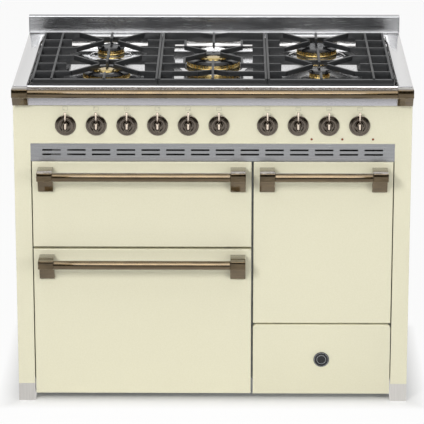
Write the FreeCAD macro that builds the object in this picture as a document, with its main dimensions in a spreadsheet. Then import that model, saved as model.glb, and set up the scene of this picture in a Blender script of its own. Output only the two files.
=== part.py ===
import FreeCAD, Part
import math
import os
import re

import Sketcher

# Range cooker, 1 m wide: a five burner gas hob over a main oven with a grill oven above it,
# and a tall side oven over a storage drawer. Millimetres, +X to the right, +Z up.
# Every formula below counts Y from the front face of the corner posts towards the wall.

Vector = FreeCAD.Vector
doc = FreeCAD.newDocument("range_cooker")

# The driving dimensions.
SIZES = {
    # overall
    "body_width": 1000,
    "body_depth": 600,
    "worktop_height": 840,
    "sheet": 1.5,
    "running_gap": 0.3,
    # corner posts and feet
    "post_width": 42,
    "post_depth": 42,
    "post_round": 1.2,
    "sleeve_height": 47,
    "foot_diameter": 28,
    "foot_pad": 6,
    "foot_stem": 10,
    "rear_foot_inset": 30,
    "nut_width": 17,
    "nut_height": 7,
    # worktop
    "nose_height": 50,
    "nose_overhang": 10,
    "side_strip": 39.5,
    "well_depth": 25,
    "well_back": 545,
    "well_round": 12,
    "backguard_rise": 46,
    "backguard_depth": 20,
    "rear_slots": 9,
    "rear_slot_length": 48,
    "rear_slot_width": 6,
    "rear_slot_pitch": 71.4,
    # front layout
    "panel_height": 101.5,
    "vent_height": 46,
    "vent_gap": 1.5,
    "flange": 20,
    "door_bottom": 20,
    "main_door_part": 26,
    "grill_door_part": 15,
    "door_break": 6,
    "drawer_height": 188,
    "drawer_break": 4,
    "door_side_gap": 2.5,
    "right_bay_width": 357,
    "divider_gap": 5,
    "door_depth": 36,
    "door_skin": 20,
    "door_round": 2.5,
    "liner_step": 12,
    "liner_plate": 10,
    "seal_depth": 4,
    "seal_width": 8,
    "seal_inset": 2,
    "frame_sheet": 2,
    # vent strip
    "vent_slot_length": 46.4,
    "vent_slot_height": 4.5,
    "vent_slot_margin": 29.85,
    "vent_slot_columns": 14,
    "vent_row_low": 17.5,
    "vent_row_high": 29,
    # door hinges
    "hinge_inset": 60,
    "hinge_rise": 8,
    "hinge_set_back": 8,
    "hinge_lug": 6,
    "hinge_eye": 12,
    "hinge_pin": 6,
    "hinge_clearance": 0.1,
    "hinge_cheek": 6,
    "hinge_side_gap": 1,
    # handles
    "handle_reach": 63,
    "bracket_width": 38.5,
    "bracket_height": 63,
    "bracket_inset": 15,
    "bracket_drop": 14,
    "bracket_head": 21,
    "bracket_waist": 26,
    "bracket_undercut": 3,
    "bracket_foot": 8,
    "bracket_round": 7,
    "bar_diameter": 23,
    "bar_drop": 1,
    "rail_reach": 40,
    "rail_block_height": 48.5,
    # knobs
    "left_knobs": 6,
    "right_knobs": 4,
    "gas_knobs": 5,
    "first_knob_inset": 89,
    "last_knob_inset": 89.5,
    "group_gap": 121.5,
    "knob_drop": 54,
    "panel_hole": 14,
    "bezel_diameter": 53,
    "bezel_depth": 8,
    "bezel_rim": 3.4,
    "bezel_plate": 41,
    "push_travel": 3,
    "barrel_diameter": 21,
    "knob_reach": 29,
    "barrel_reach": 20,
    "grip_diameter": 14,
    "grip_height": 22,
    "pointer_radius": 37.5,
    "pointer_width": 3.6,
    "pointer_depth": 12,
    "pointer_bevel": 3,
    "stem_width": 5,
    "spindle_width": 7,
    "lamp_diameter": 3.4,
    "lamp_flange": 5.6,
    "lamp_offset_x": 34,
    "lamp_drop": 35.5,
    # gas train and switches
    "tap_width": 24,
    "tap_depth": 60,
    "collar_width": 19,
    "collar_depth": 12,
    "manifold_width": 20,
    "supply_pipe": 16,
    "inlet_diameter": 21,
    "inlet_length": 32,
    "inlet_inset": 70,
    "inlet_hole": 60,
    "switch_width": 42,
    "switch_depth": 34,
    "switch_stem_back": 22,
    # ovens
    "cavity_margin": 38,
    "cavity_lift": 36,
    "cavity_drop": 34,
    "oven_depth": 430,
    "grill_depth": 380,
    "ledge_depth": 9,
    "ledge_height": 6,
    "ledge_pitch": 62,
    "shelf_wire": 6,
    "shelf_grid_wire": 4,
    "shelf_clearance": 1.5,
    "shelf_grid_count": 8,
    "element_tube": 7,
    "element_drop": 22,
    "fan_diameter": 150,
    "fan_hub": 26,
    "fan_depth": 18,
    "fan_blade": 2,
    "fan_blades": 8,
    "fan_set_off": 6,
    "fan_shaft": 8,
    "fan_cover_width": 280,
    "fan_cover_height": 250,
    "fan_cover_depth": 36,
    "cover_slot_start": 6,
    "cover_slot_end": 52,
    "cover_slot_pitch": 16,
    "cover_slot_height": 6,
    "motor_diameter": 70,
    "motor_depth": 55,
    "ring_element_diameter": 190,
    # drawer
    "drawer_front_depth": 18,
    "drawer_corner": 10,
    "drawer_box_depth": 420,
    "drawer_box_height": 104,
    "drawer_lift": 42,
    "bay_margin": 16,
    "bay_lift": 34,
    "bay_drop": 18,
    "runner_depth": 8,
    "runner_reach": 10,
    "runner_height": 24,
    "rail_height": 12,
    "rail_set_back": 4,
    "drawer_clearance": 14,
    "badge_diameter": 40,
    "badge_depth": 3,
    # burners, each a place on the hob, a crown and a cap
    "side_burner_shift": 22,
    "rear_burner_y": 426,
    "front_burner_y": 165,
    "wok_burner_y": 296,
    "base_height": 4,
    "base_inset": 4,
    "crown_height": 14,
    "cap_height": 7,
    "cap_overhang": 2,
    "dual_front_cap": 124,
    "tall_rear_cap": 73,
    "wok_cap": 142,
    "rapid_rear_cap": 109,
    "simmer_front_cap": 56,
    "inner_cap": 49,
    "inner_cap_rise": 1.5,
    "ring_inner": 76,
    "crown_slots": 8,
    "crown_slot_width": 3,
    "crown_slot_depth": 5,
    "igniter_diameter": 6,
    "igniter_gap": 6,
    # pan supports
    "support_rise": 16,
    "support_depth": 24,
    "support_bar": 5.5,
    "finger_depth": 12,
    "finger_width": 6,
    "support_side_gap": 8.5,
    "support_inner_x": 136,
    "support_gap": 1.5,
    "support_middle_bar": 49,
    "outer_rib": 77,
    "inner_rib": 37,
    "centre_rib": 34,
    "finger_span": 86,
    "finger_tip_x": 20,
    "finger_tip_y": 7,
    "apron_depth": 12,
    "apron_top_drop": 3,
    "wok_finger_x": 74,
    "wok_finger_y": 66,
    "wok_axial_tip": 96,
    "rear_axial_tip": 18,
    "front_axial_tip": 95,
    "support_leg": 12,
}

# Places that follow from the driving dimensions.
LAYOUT = {
    "half_width": "body_width / 2",
    "post_inner": "half_width - post_width",
    "divider_x": "post_inner - right_bay_width",
    "body_back": "body_depth",
    "panel_top": "worktop_height - nose_height",
    "panel_bottom": "panel_top - panel_height",
    "vent_bottom": "panel_bottom - vent_height",
    "doors_top": "vent_bottom - vent_gap",
    "main_door_share": "main_door_part / (main_door_part + grill_door_part)",
    "main_door_height": "(doors_top - door_bottom - door_break) * main_door_share",
    "main_door_top": "door_bottom + main_door_height",
    "grill_door_bottom": "main_door_top + door_break",
    "drawer_top": "door_bottom + drawer_height",
    "side_door_bottom": "drawer_top + drawer_break",
    "left_low": "-post_inner + door_side_gap",
    "left_high": "divider_x - divider_gap / 2",
    "right_low": "divider_x + divider_gap / 2",
    "right_high": "post_inner - door_side_gap",
    "frame_front": "door_depth + seal_depth",
    "frame_back": "frame_front + frame_sheet",
    "tray_top": "sleeve_height + sheet",
    "seal_reach": "seal_inset + seal_width",
    "oven_back": "frame_back + oven_depth",
    "grill_back": "frame_back + grill_depth",
    "hinge_y": "hinge_set_back",
    "notch_half": "hinge_lug / 2 + hinge_side_gap",
    "notch_reach": "hinge_eye / 2 + running_gap",
    "well_half": "half_width - side_strip",
    "well_floor": "worktop_height - well_depth",
    "base_top": "well_floor + base_height",
    "crown_top": "base_top + crown_height",
    "cap_top": "crown_top + cap_height",
    "vent_slot_run": "post_inner * 2 - vent_slot_margin * 2 - vent_slot_length",
    "vent_slot_pitch": "vent_slot_run / (vent_slot_columns - 1)",
    "support_outer_x": "well_half - support_side_gap",
    "side_burner_x": "(support_outer_x + support_inner_x) / 2 - side_burner_shift",
    "knob_gaps": "left_knobs + right_knobs - 2",
    "knob_span": "post_inner * 2 - first_knob_inset - last_knob_inset",
    "knob_pitch": "(knob_span - group_gap) / knob_gaps",
    "first_knob_x": "-post_inner + first_knob_inset",
    "second_group_x": "post_inner - last_knob_inset - (right_knobs - 1) * knob_pitch",
    "knob_height": "panel_top - knob_drop",
    "inlet_x": "-half_width + inlet_inset",
    "knob_back": "-bezel_depth - push_travel - running_gap * 2",
    "stem_hole": "spindle_width + running_gap * 2",
    "tap_back": "collar_depth + tap_depth",
    "bay_low": "right_low + bay_margin",
    "bay_high": "right_high - bay_margin",
    "bay_bottom": "door_bottom + bay_lift",
    "bay_top": "drawer_top - bay_drop",
    "box_bottom": "door_bottom + drawer_lift",
    "box_back": "drawer_front_depth + drawer_box_depth",
    "runner_z": "box_bottom + drawer_box_height / 2",
    "fan_x": "(left_low + left_high) / 2",
    "fan_z": "(door_bottom + cavity_lift + main_door_top - cavity_drop) / 2",
    "fan_back": "oven_back - fan_set_off",
    "support_top": "worktop_height + support_rise",
    "support_bottom": "support_top - support_depth",
    "finger_bottom": "support_top - finger_depth",
}

names = {}


def linked(formula):
    """The formula with each size or place named as its spreadsheet cell."""
    return re.sub(r"[a-z_][a-z0-9_]*", lambda word: names.get(word.group(), word.group()), formula)


def fill_sheet(sheet_name, entries):
    """A spreadsheet with one aliased cell for each entry."""
    sheet = doc.addObject("Spreadsheet::Sheet", sheet_name)
    for row, (alias, content) in enumerate(entries.items(), 1):
        names[alias] = f"{sheet_name}.{alias}"
        sheet.set(f"A{row}", alias)
        if isinstance(content, str):
            sheet.set(f"B{row}", "=" + linked(content))
        else:
            sheet.set(f"B{row}", str(content))
        sheet.setAlias(f"B{row}", alias)
    return sheet


sizes = fill_sheet("sizes", SIZES)
layout = fill_sheet("layout", LAYOUT)
scratch = doc.addObject("Spreadsheet::Sheet", "scratch")
doc.recompute()


def mm(formula):
    """The value of a formula, in millimetres."""
    scratch.set("A1", "=" + linked(formula))
    scratch.recompute()
    return float(scratch.get("A1"))


def bind(thing, path, formula):
    thing.setExpression(path, linked(formula))


# Plain solids ---------------------------------------------------------------------------------

TURN = {
    "x": FreeCAD.Rotation(Vector(0, 1, 0), 90),
    "y": FreeCAD.Rotation(Vector(1, 0, 0), -90),
    "z": FreeCAD.Rotation(),
}
ACROSS = {"x": "yz", "y": "xz", "z": "xy"}


def block(x, y, z):
    """A box between the low and high formulas on each axis."""
    piece = doc.addObject("Part::Box", "block")
    for side, corner, (low, high) in zip(("Length", "Width", "Height"), "xyz", (x, y, z)):
        bind(piece, side, f"({high}) - ({low})")
        bind(piece, f"Placement.Base.{corner}", low)
    return piece


def lay_along(piece, axis, centre, low):
    """Turns a solid made along Z to the axis, with its low end and centre at the formulas."""
    piece.Placement.Rotation = TURN[axis]
    for corner, formula in zip(ACROSS[axis], centre):
        bind(piece, f"Placement.Base.{corner}", formula)
    bind(piece, f"Placement.Base.{axis}", low)
    return piece


def rod(axis, centre, span, diameter):
    """A cylinder along an axis."""
    low, high = span
    piece = doc.addObject("Part::Cylinder", "rod")
    bind(piece, "Radius", f"({diameter}) / 2")
    bind(piece, "Height", f"({high}) - ({low})")
    return lay_along(piece, axis, centre, low)


def prism(axis, centre, span, across, sides=6):
    """A nut, or a small rod or hole with few faces; across is the size between flats."""
    low, high = span
    piece = doc.addObject("Part::Prism", "prism")
    piece.Polygon = sides
    bind(piece, "Circumradius", f"({across}) / 2 / cos(180 / {sides})")
    bind(piece, "Height", f"({high}) - ({low})")
    return lay_along(piece, axis, centre, low)


def ring(axis, centre, span, outside, inside, sides):
    """A flat ring along an axis."""
    low, high = span
    bore = prism(axis, centre, (f"({low}) - 1", f"({high}) + 1"), inside, sides)
    return cut(prism(axis, centre, span, outside, sides), bore)


def fuse(*pieces):
    union = doc.addObject("Part::MultiFuse", "union")
    union.Shapes = list(pieces)
    union.Refine = True
    return union


def cut(base, *tools):
    """The base without the tools."""
    result = doc.addObject("Part::Cut", "cut")
    result.Base = base
    result.Tool = tools[0] if len(tools) == 1 else fuse(*tools)
    return result


def made(shape, name):
    """A solid whose shape comes from Part's own functions."""
    piece = doc.addObject("Part::Feature", name)
    piece.Shape = shape
    return piece


# Sketched bodies ------------------------------------------------------------------------------

PLANES = {"z": "XY_Plane", "y": "XZ_Plane", "x": "YZ_Plane"}


def sketch_on(body, axis, level):
    """An empty sketch square to the axis, at the level along it."""
    sketch = body.newObject("Sketcher::SketchObject", "outline")
    plane = next(feature for feature in body.Origin.OriginFeatures if feature.Role == PLANES[axis])
    sketch.AttachmentSupport = [(plane, "")]
    sketch.MapMode = "FlatFace"
    bind(sketch, "AttachmentOffset.Base.z", f"-({level})" if axis == "y" else level)
    return sketch


def pin_point(sketch, geometry, end, point):
    """Holds one end of a line at the two formulas."""
    for kind, zero_axis, formula in (("DistanceX", -2, point[0]), ("DistanceY", -1, point[1])):
        if formula == "0":
            sketch.addConstraint(Sketcher.Constraint("PointOnObject", geometry, end, zero_axis))
            continue
        index = sketch.addConstraint(Sketcher.Constraint(kind, -1, 1, geometry, end, mm(formula)))
        bind(sketch, f"Constraints[{index}]", formula)


def draw_outline(sketch, outline):
    """A closed polygon, each corner held by its formulas."""
    first = sketch.GeometryCount
    corners = [Vector(mm(u), mm(v), 0) for u, v in outline]
    for start, end in zip(corners, corners[1:] + corners[:1]):
        sketch.addGeometry(Part.LineSegment(start, end), False)
    count = len(outline)
    for step in range(count):
        following = first + (step + 1) % count
        sketch.addConstraint(Sketcher.Constraint("Coincident", first + step, 2, following, 1))
    for step, point in enumerate(outline):
        pin_point(sketch, first + step, 1, point)


def new_body():
    return doc.addObject("PartDesign::Body", "body")


def padded(axis, span, outlines):
    """A body padded along the axis; outlines inside the first are holes."""
    low, high = span
    body = new_body()
    sketch = sketch_on(body, axis, high if axis == "y" else low)
    for outline in outlines:
        draw_outline(sketch, outline)
    pad = body.newObject("PartDesign::Pad", "pad")
    pad.Profile = sketch
    bind(pad, "Length", f"({high}) - ({low})")
    return body


def pocketed(body, axis, span, outlines):
    """Cuts the outlines out of the body between the two levels."""
    low, high = span
    sketch = sketch_on(body, axis, high if axis == "y" else low)
    for outline in outlines:
        draw_outline(sketch, outline)
    pocket = body.newObject("PartDesign::Pocket", "pocket")
    pocket.Profile = sketch
    pocket.Reversed = True
    bind(pocket, "Length", f"({high}) - ({low})")
    return pocket


def rounded(body, radius, chosen):
    """Rounds the edges that the test picks."""
    doc.recompute()
    tip = body.Tip
    edges = [f"Edge{number}" for number, edge in enumerate(tip.Shape.Edges, 1) if chosen(edge)]
    fillet = body.newObject("PartDesign::Fillet", "round")
    fillet.Base = (tip, edges)
    bind(fillet, "Radius", radius)
    return body


def rectangle(u, v):
    (u_low, u_high), (v_low, v_high) = u, v
    return [(u_low, v_low), (u_high, v_low), (u_high, v_high), (u_low, v_high)]


def regular(sides, radius):
    """A regular polygon about the origin, with a flat towards each axis."""
    angles = [360 / sides * (step + 0.5) for step in range(sides)]
    return [(f"({radius}) * cos({angle})", f"({radius}) * sin({angle})") for angle in angles]


def square(u, v, side):
    """A square outline about a centre."""
    half = f"({side}) / 2"
    return rectangle((f"{u} - {half}", f"{u} + {half}"), (f"{v} - {half}", f"{v} + {half}"))


def runs_along(edge, axis, *places):
    """Whether the edge is straight along the axis and passes one of the places across it."""
    if edge.Curve.TypeId != "Part::GeomLine":
        return False
    start, end = edge.Vertexes[0].Point, edge.Vertexes[-1].Point
    for place in places:
        ends_match = True
        for corner, wanted in zip(ACROSS[axis], place):
            for point in (start, end):
                if abs(getattr(point, corner) - wanted) > 0.01:
                    ends_match = False
        if ends_match:
            return True
    return False


# Sub-parts ------------------------------------------------------------------------------------

parts = {}


def sub_part(label, *solids):
    """One named sub-part, moved so that the cooker's own box is centred on the origin."""
    group = doc.addObject("Part::Compound", label)
    group.Label = label
    group.Links = list(solids)
    bind(group, "Placement.Base.y", "(handle_reach - body_depth) / 2")
    parts[label] = group


def both_sides(make):
    """The piece that make(side) gives for the left and for the right."""
    return [make("-1"), make("1")]


def mirrored_span(side, low, high):
    """The X span between two distances from the middle, on the side given."""
    return (f"-({high})", f"-({low})") if side == "-1" else (low, high)


# Casing

def corner_post(side):
    near, far = f"{side} * post_inner", f"{side} * half_width"
    near_wall = f"{side} * (post_inner + sheet)"
    far_wall = f"{side} * (half_width - sheet)"
    outline = [
        (near, "0"),
        (far, "0"),
        (far, "post_depth"),
        (far_wall, "post_depth"),
        (far_wall, "sheet"),
        (near_wall, "sheet"),
        (near_wall, "post_depth"),
        (near, "post_depth"),
    ]
    post = padded("z", ("sleeve_height", "panel_top"), [outline])
    corner = (mm(far), 0)
    return rounded(post, "post_round", lambda edge: runs_along(edge, "z", corner))


def foot_sleeve(side):
    outer = rectangle((f"{side} * post_inner", f"{side} * half_width"), ("0", "post_depth"))
    inner = rectangle(
        (f"{side} * (post_inner + sheet)", f"{side} * (half_width - sheet)"),
        ("sheet", "post_depth - sheet"),
    )
    return padded("z", ("0", "sleeve_height"), [outer, inner])


def levelling_foot(side):
    """A rear foot; the sleeves are the front ones."""
    x, y = f"{side} * (post_inner + half_width) / 2", "body_back - rear_foot_inset"
    pad = prism("z", (x, y), ("0", "foot_pad"), "foot_diameter", 16)
    stem = prism("z", (x, y), ("foot_pad / 2", "sleeve_height"), "foot_stem", 8)
    nut = prism("z", (x, y), ("sleeve_height - nut_height", "sleeve_height"), "nut_width")
    return fuse(pad, stem, nut)


def side_panel(side):
    """A sheet with an edge folded in behind the post and another at the back."""
    far, wall = f"{side} * half_width", f"{side} * (half_width - sheet)"
    lip = f"{side} * (half_width - flange)"
    back = "body_back - sheet"
    outline = [
        (far, "post_depth"),
        (far, back),
        (lip, back),
        (lip, f"{back} - sheet"),
        (wall, f"{back} - sheet"),
        (wall, "post_depth + sheet"),
        (lip, "post_depth + sheet"),
        (lip, "post_depth"),
    ]
    return padded("z", ("tray_top", "panel_top"), [outline])


INSIDE_BACK = ("body_back - 2 * sheet", "body_back")


def rear_panel():
    """The back sheet with a row of cooling slots and the gas inlet hole."""
    sheet = padded(
        "y",
        ("body_back - sheet", "body_back"),
        [rectangle(("-half_width", "half_width"), ("tray_top", "panel_top"))],
    )
    pocketed(sheet, "y", INSIDE_BACK, [square("inlet_x", "knob_height", "inlet_hole")])
    first = "-(rear_slots - 1) / 2 * rear_slot_pitch"
    slot = (f"{first} - rear_slot_length / 2", f"{first} + rear_slot_length / 2")
    level = ("panel_top - 2 * flange", "panel_top - 2 * flange + rear_slot_width")
    pocket = pocketed(sheet, "y", INSIDE_BACK, [rectangle(slot, level)])
    pattern = sheet.newObject("PartDesign::LinearPattern", "slots")
    pattern.Originals = [pocket]
    pattern.Direction = (pocket.Profile[0], ["H_Axis"])
    bind(pattern, "Length", "(rear_slots - 1) * rear_slot_pitch")
    bind(pattern, "Occurrences", "rear_slots")
    sheet.Tip = pattern
    return sheet


def base_tray():
    """The floor sheet, with a tab into each front post."""
    tab = "post_inner + sheet"
    tab_end = "half_width - sheet"
    outline = [
        ("-half_width", "post_depth"),
        (f"-({tab_end})", "post_depth"),
        (f"-({tab_end})", "sheet"),
        (f"-({tab})", "sheet"),
        (f"-({tab})", "post_depth"),
        (tab, "post_depth"),
        (tab, "sheet"),
        (tab_end, "sheet"),
        (tab_end, "post_depth"),
        ("half_width", "post_depth"),
        ("half_width", "body_back"),
        ("-half_width", "body_back"),
    ]
    return padded("z", ("sleeve_height", "tray_top"), [outline])


def opening(low, high, bottom, top):
    """The mouth of an oven behind a door with these edges."""
    return rectangle(
        (f"{low} + cavity_margin", f"{high} - cavity_margin"),
        (f"{bottom} + cavity_lift", f"{top} - cavity_drop"),
    )


DOORS = {
    "main": ("left_low", "left_high", "door_bottom", "main_door_top"),
    "grill": ("left_low", "left_high", "grill_door_bottom", "doors_top"),
    "side": ("right_low", "right_high", "side_door_bottom", "doors_top"),
}


def front_frame():
    """The sheet behind the doors, with an opening for each oven and for the drawer."""
    outer = rectangle(("-post_inner", "post_inner"), ("tray_top", "vent_bottom"))
    mouths = [opening(*edges) for edges in DOORS.values()]
    bay = rectangle(("bay_low", "bay_high"), ("bay_bottom", "bay_top"))
    return padded("y", ("frame_front", "frame_back"), [outer, *mouths, bay])


sub_part("corner_posts", *both_sides(corner_post))
sub_part("foot_sleeves", *both_sides(foot_sleeve))
sub_part("levelling_feet", *both_sides(levelling_foot))
sub_part("outer_panels", *both_sides(side_panel), rear_panel())
sub_part("base_tray", base_tray())
sub_part("front_frame", front_frame())


# Worktop

BURNERS = {
    "dual_front": ("-side_burner_x", "front_burner_y", "dual_front_cap"),
    "tall_rear": ("-side_burner_x", "rear_burner_y", "tall_rear_cap"),
    "wok": ("0", "wok_burner_y", "wok_cap"),
    "rapid_rear": ("side_burner_x", "rear_burner_y", "rapid_rear_cap"),
    "simmer_front": ("side_burner_x", "front_burner_y", "simmer_front_cap"),
}
DUAL = ("dual_front", "wok")
CROWN_SIDES = 24
CAP_SIDES = 30


def hob_top():
    """A pressed sheet: a nose all round, side strips and a sunken well."""
    outer = padded(
        "z",
        ("panel_top", "worktop_height"),
        [rectangle(("-half_width", "half_width"), ("-nose_overhang", "body_back"))],
    )
    front_edge = (-mm("nose_overhang"), mm("worktop_height"))
    rounded(outer, "sheet * 2", lambda edge: runs_along(edge, "x", front_edge))
    well = padded(
        "z",
        ("well_floor", "worktop_height + sheet"),
        [rectangle(("-well_half", "well_half"), ("0", "well_back"))],
    )
    corners = [(side * mm("well_half"), y) for side in (-1, 1) for y in (0, mm("well_back"))]
    rounded(well, "well_round", lambda edge: runs_along(edge, "z", *corners))
    hollow = block(
        ("-half_width + sheet", "half_width - sheet"),
        ("-nose_overhang + sheet", "body_back - sheet"),
        ("panel_top - sheet", "worktop_height - sheet"),
    )
    bowl = block(
        ("-well_half - sheet", "well_half + sheet"),
        ("-sheet", "well_back + sheet"),
        ("well_floor - sheet", "worktop_height"),
    )
    return cut(cut(outer, cut(hollow, bowl)), well)


def backguard():
    """The upstand at the wall, a folded sheet."""
    front, back = "body_back - backguard_depth", "body_back"
    top = "worktop_height + backguard_rise"
    outer = padded(
        "z",
        ("worktop_height", top),
        [rectangle(("-half_width", "half_width"), (front, back))],
    )
    edge_place = (mm(front), mm(top))
    rounded(outer, "sheet * 2", lambda edge: runs_along(edge, "x", edge_place))
    hollow = block(
        ("-half_width + sheet", "half_width - sheet"),
        (f"{front} + sheet", f"{back} - sheet"),
        ("worktop_height - sheet", f"{top} - sheet"),
    )
    return cut(outer, hollow)


def burner_base(x, y, cap):
    return prism("z", (x, y), ("well_floor", "base_top"), f"{cap} - base_inset * 2", 16)


def crown_solid(x, y, outside, bore, bottom, top):
    """A disc or ring with flame ports cut round its rim."""
    outlines = [regular(CROWN_SIDES, f"({outside}) / 2")]
    if bore:
        outlines.append(regular(CROWN_SIDES, f"({bore}) / 2"))
    crown = padded("z", (bottom, top), outlines)
    slot = pocketed(
        crown,
        "z",
        (f"({bottom}) - 1", f"({top}) + 1"),
        [
            rectangle(
                (f"({outside}) / 2 - crown_slot_depth", f"({outside}) / 2 + 2"),
                ("-crown_slot_width / 2", "crown_slot_width / 2"),
            )
        ],
    )
    pattern = crown.newObject("PartDesign::PolarPattern", "ports")
    pattern.Originals = [slot]
    pattern.Axis = (crown.Group[0], ["N_Axis"])
    pattern.Angle = 360
    bind(pattern, "Occurrences", "crown_slots")
    crown.Tip = pattern
    for corner, formula in zip("xy", (x, y)):
        bind(crown, f"Placement.Base.{corner}", formula)
    return crown


def burner_crowns(name):
    """The brass crown of one burner, or the outer and inner crowns of a dual one."""
    x, y, cap = BURNERS[name]
    outside = f"{cap} - cap_overhang * 2"
    if name not in DUAL:
        return [crown_solid(x, y, outside, None, "base_top", "crown_top")]
    inner_level = ("base_top", "crown_top + inner_cap_rise")
    inner = prism("z", (x, y), inner_level, "inner_cap - cap_overhang * 2", 16)
    return [crown_solid(x, y, outside, "ring_inner", "base_top", "crown_top"), inner]


def cap_solid(x, y, outside, bore, bottom, top):
    """A flat cap; a ring cap has a bore."""
    if bore:
        return ring("z", (x, y), (bottom, top), outside, bore, CAP_SIDES)
    return prism("z", (x, y), (bottom, top), outside, CAP_SIDES)


def burner_caps(name):
    x, y, cap = BURNERS[name]
    if name not in DUAL:
        return [cap_solid(x, y, cap, None, "crown_top", "cap_top")]
    return [
        cap_solid(x, y, cap, "ring_inner - cap_overhang * 2", "crown_top", "cap_top"),
        cap_solid(
            x, y, "inner_cap", None, "crown_top + inner_cap_rise", "cap_top + inner_cap_rise"
        ),
    ]


def spark_igniter(x, y, cap):
    """A ceramic electrode standing behind the burner's rim."""
    place = (x, f"{y} + {cap} / 2 + igniter_gap + igniter_diameter / 2")
    return prism("z", place, ("well_floor", "crown_top"), "igniter_diameter")


sub_part("hob_top", hob_top())
sub_part("backguard", backguard())
sub_part("burner_bases", *[burner_base(*place) for place in BURNERS.values()])
sub_part("burner_crowns", *[crown for name in BURNERS for crown in burner_crowns(name)])
sub_part("burner_caps", *[cap for name in BURNERS for cap in burner_caps(name)])
sub_part("spark_igniters", *[spark_igniter(*place) for place in BURNERS.values()])


# Pan supports: cast grids of deep bars with fingers that reach in over the burners

def bar(start, end, width, bottom, top):
    """A straight bar in plan, from start to end, between two heights."""
    first, last = Vector(*start, 0), Vector(*end, 0)
    along = (last - first).normalize()
    side = Vector(-along.y, along.x, 0) * (width / 2)
    corners = [first - side, last - side, last + side, first + side]
    lifted = [Vector(corner.x, corner.y, bottom) for corner in corners]
    face = Part.Face(Part.makePolygon(lifted + lifted[:1]))
    return face.extrude(Vector(0, 0, top - bottom))


def cast_grid(bars, name):
    grid = bars[0].multiFuse(bars[1:]).removeSplitter()
    return made(grid, name)


def frame_bars(edges, rear, apron_back):
    """The side bars, the apron across the front and the legs, between two X edges."""
    width = mm("support_bar")
    bottom, top = mm("support_bottom"), mm("support_top")
    front = mm("support_gap")
    leg = mm("support_leg")
    leg_bottom = mm("well_floor + running_gap")
    middle = mm("support_gap") + mm("apron_depth") / 2
    apron_top = top - mm("apron_top_drop")
    low, high = edges
    bars = [bar((low, middle), (high, middle), mm("apron_depth"), bottom, apron_top)]
    for x in (low + width / 2, high - width / 2):
        bars.append(bar((x, front), (x, rear), width, bottom, top))
    for x in (low, high - leg):
        for y in (apron_back + leg, rear - leg):
            bars.append(bar((x, y), (x + leg, y), leg, leg_bottom, bottom + 1))
    return bars


def side_support(side):
    """The support over the front and rear burners of one side; side is -1 or 1."""
    width, finger = mm("support_bar"), mm("finger_width")
    bottom, top = mm("support_bottom"), mm("support_top")
    finger_low = mm("finger_bottom")
    outer, inner = mm("support_outer_x"), mm("support_inner_x") + mm("support_gap")
    burner = mm("side_burner_x")
    rows = [mm("rear_burner_y"), mm("front_burner_y")]
    span = mm("finger_span")
    rear = rows[0] + span + width / 2
    apron_back = mm("support_gap + apron_depth")
    outer_rib, inner_rib = outer - mm("outer_rib"), inner + mm("inner_rib")
    tip_x, tip_y = mm("finger_tip_x"), mm("finger_tip_y")
    bars = frame_bars(sorted((side * outer, side * inner)), rear, apron_back)
    middle_x = side * (outer - mm("support_middle_bar"))
    bars.append(bar((middle_x, apron_back / 2), (middle_x, rear), width, bottom, top))
    for burner_y in rows:
        for row in (burner_y + span, burner_y, burner_y - span):
            bars.append(bar((side * outer, row), (side * outer_rib, row), width, bottom, top))
            bars.append(bar((side * inner_rib, row), (side * inner, row), width, bottom, top))
        for step in (-1, 1):
            row = burner_y + step * span
            for rib, reach in ((outer_rib, 1), (inner_rib, -1)):
                elbow = (side * (burner + reach * span), row)
                tip = (side * (burner + reach * tip_x), burner_y + step * tip_y)
                bars.append(bar((side * rib, row), elbow, width, finger_low, top))
                bars.append(bar(elbow, tip, finger, finger_low, top))
    cross_top = finger_low
    for row in (rows[0] + span, rows[1] + span):
        ends = ((side * outer_rib, row), (side * inner_rib, row))
        bars.append(bar(*ends, finger, bottom, cross_top))
    burner_x = side * burner
    rear_tip = rows[0] + mm("rear_axial_tip")
    middle_tips = (rows[0] - mm("front_axial_tip"), rows[1] + mm("rear_axial_tip"))
    front_tip = rows[1] - mm("front_axial_tip")
    for start, end in ((rear, rear_tip), middle_tips, (apron_back / 2, front_tip)):
        bars.append(bar((burner_x, start), (burner_x, end), finger, finger_low, top))
    posts = (rows[0] + span, rows[1] + span)
    for row in posts:
        ends = ((burner_x, row - finger / 2), (burner_x, row + finger / 2))
        bars.append(bar(*ends, finger, bottom, top))
    return cast_grid(bars, "side_grid")


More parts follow.
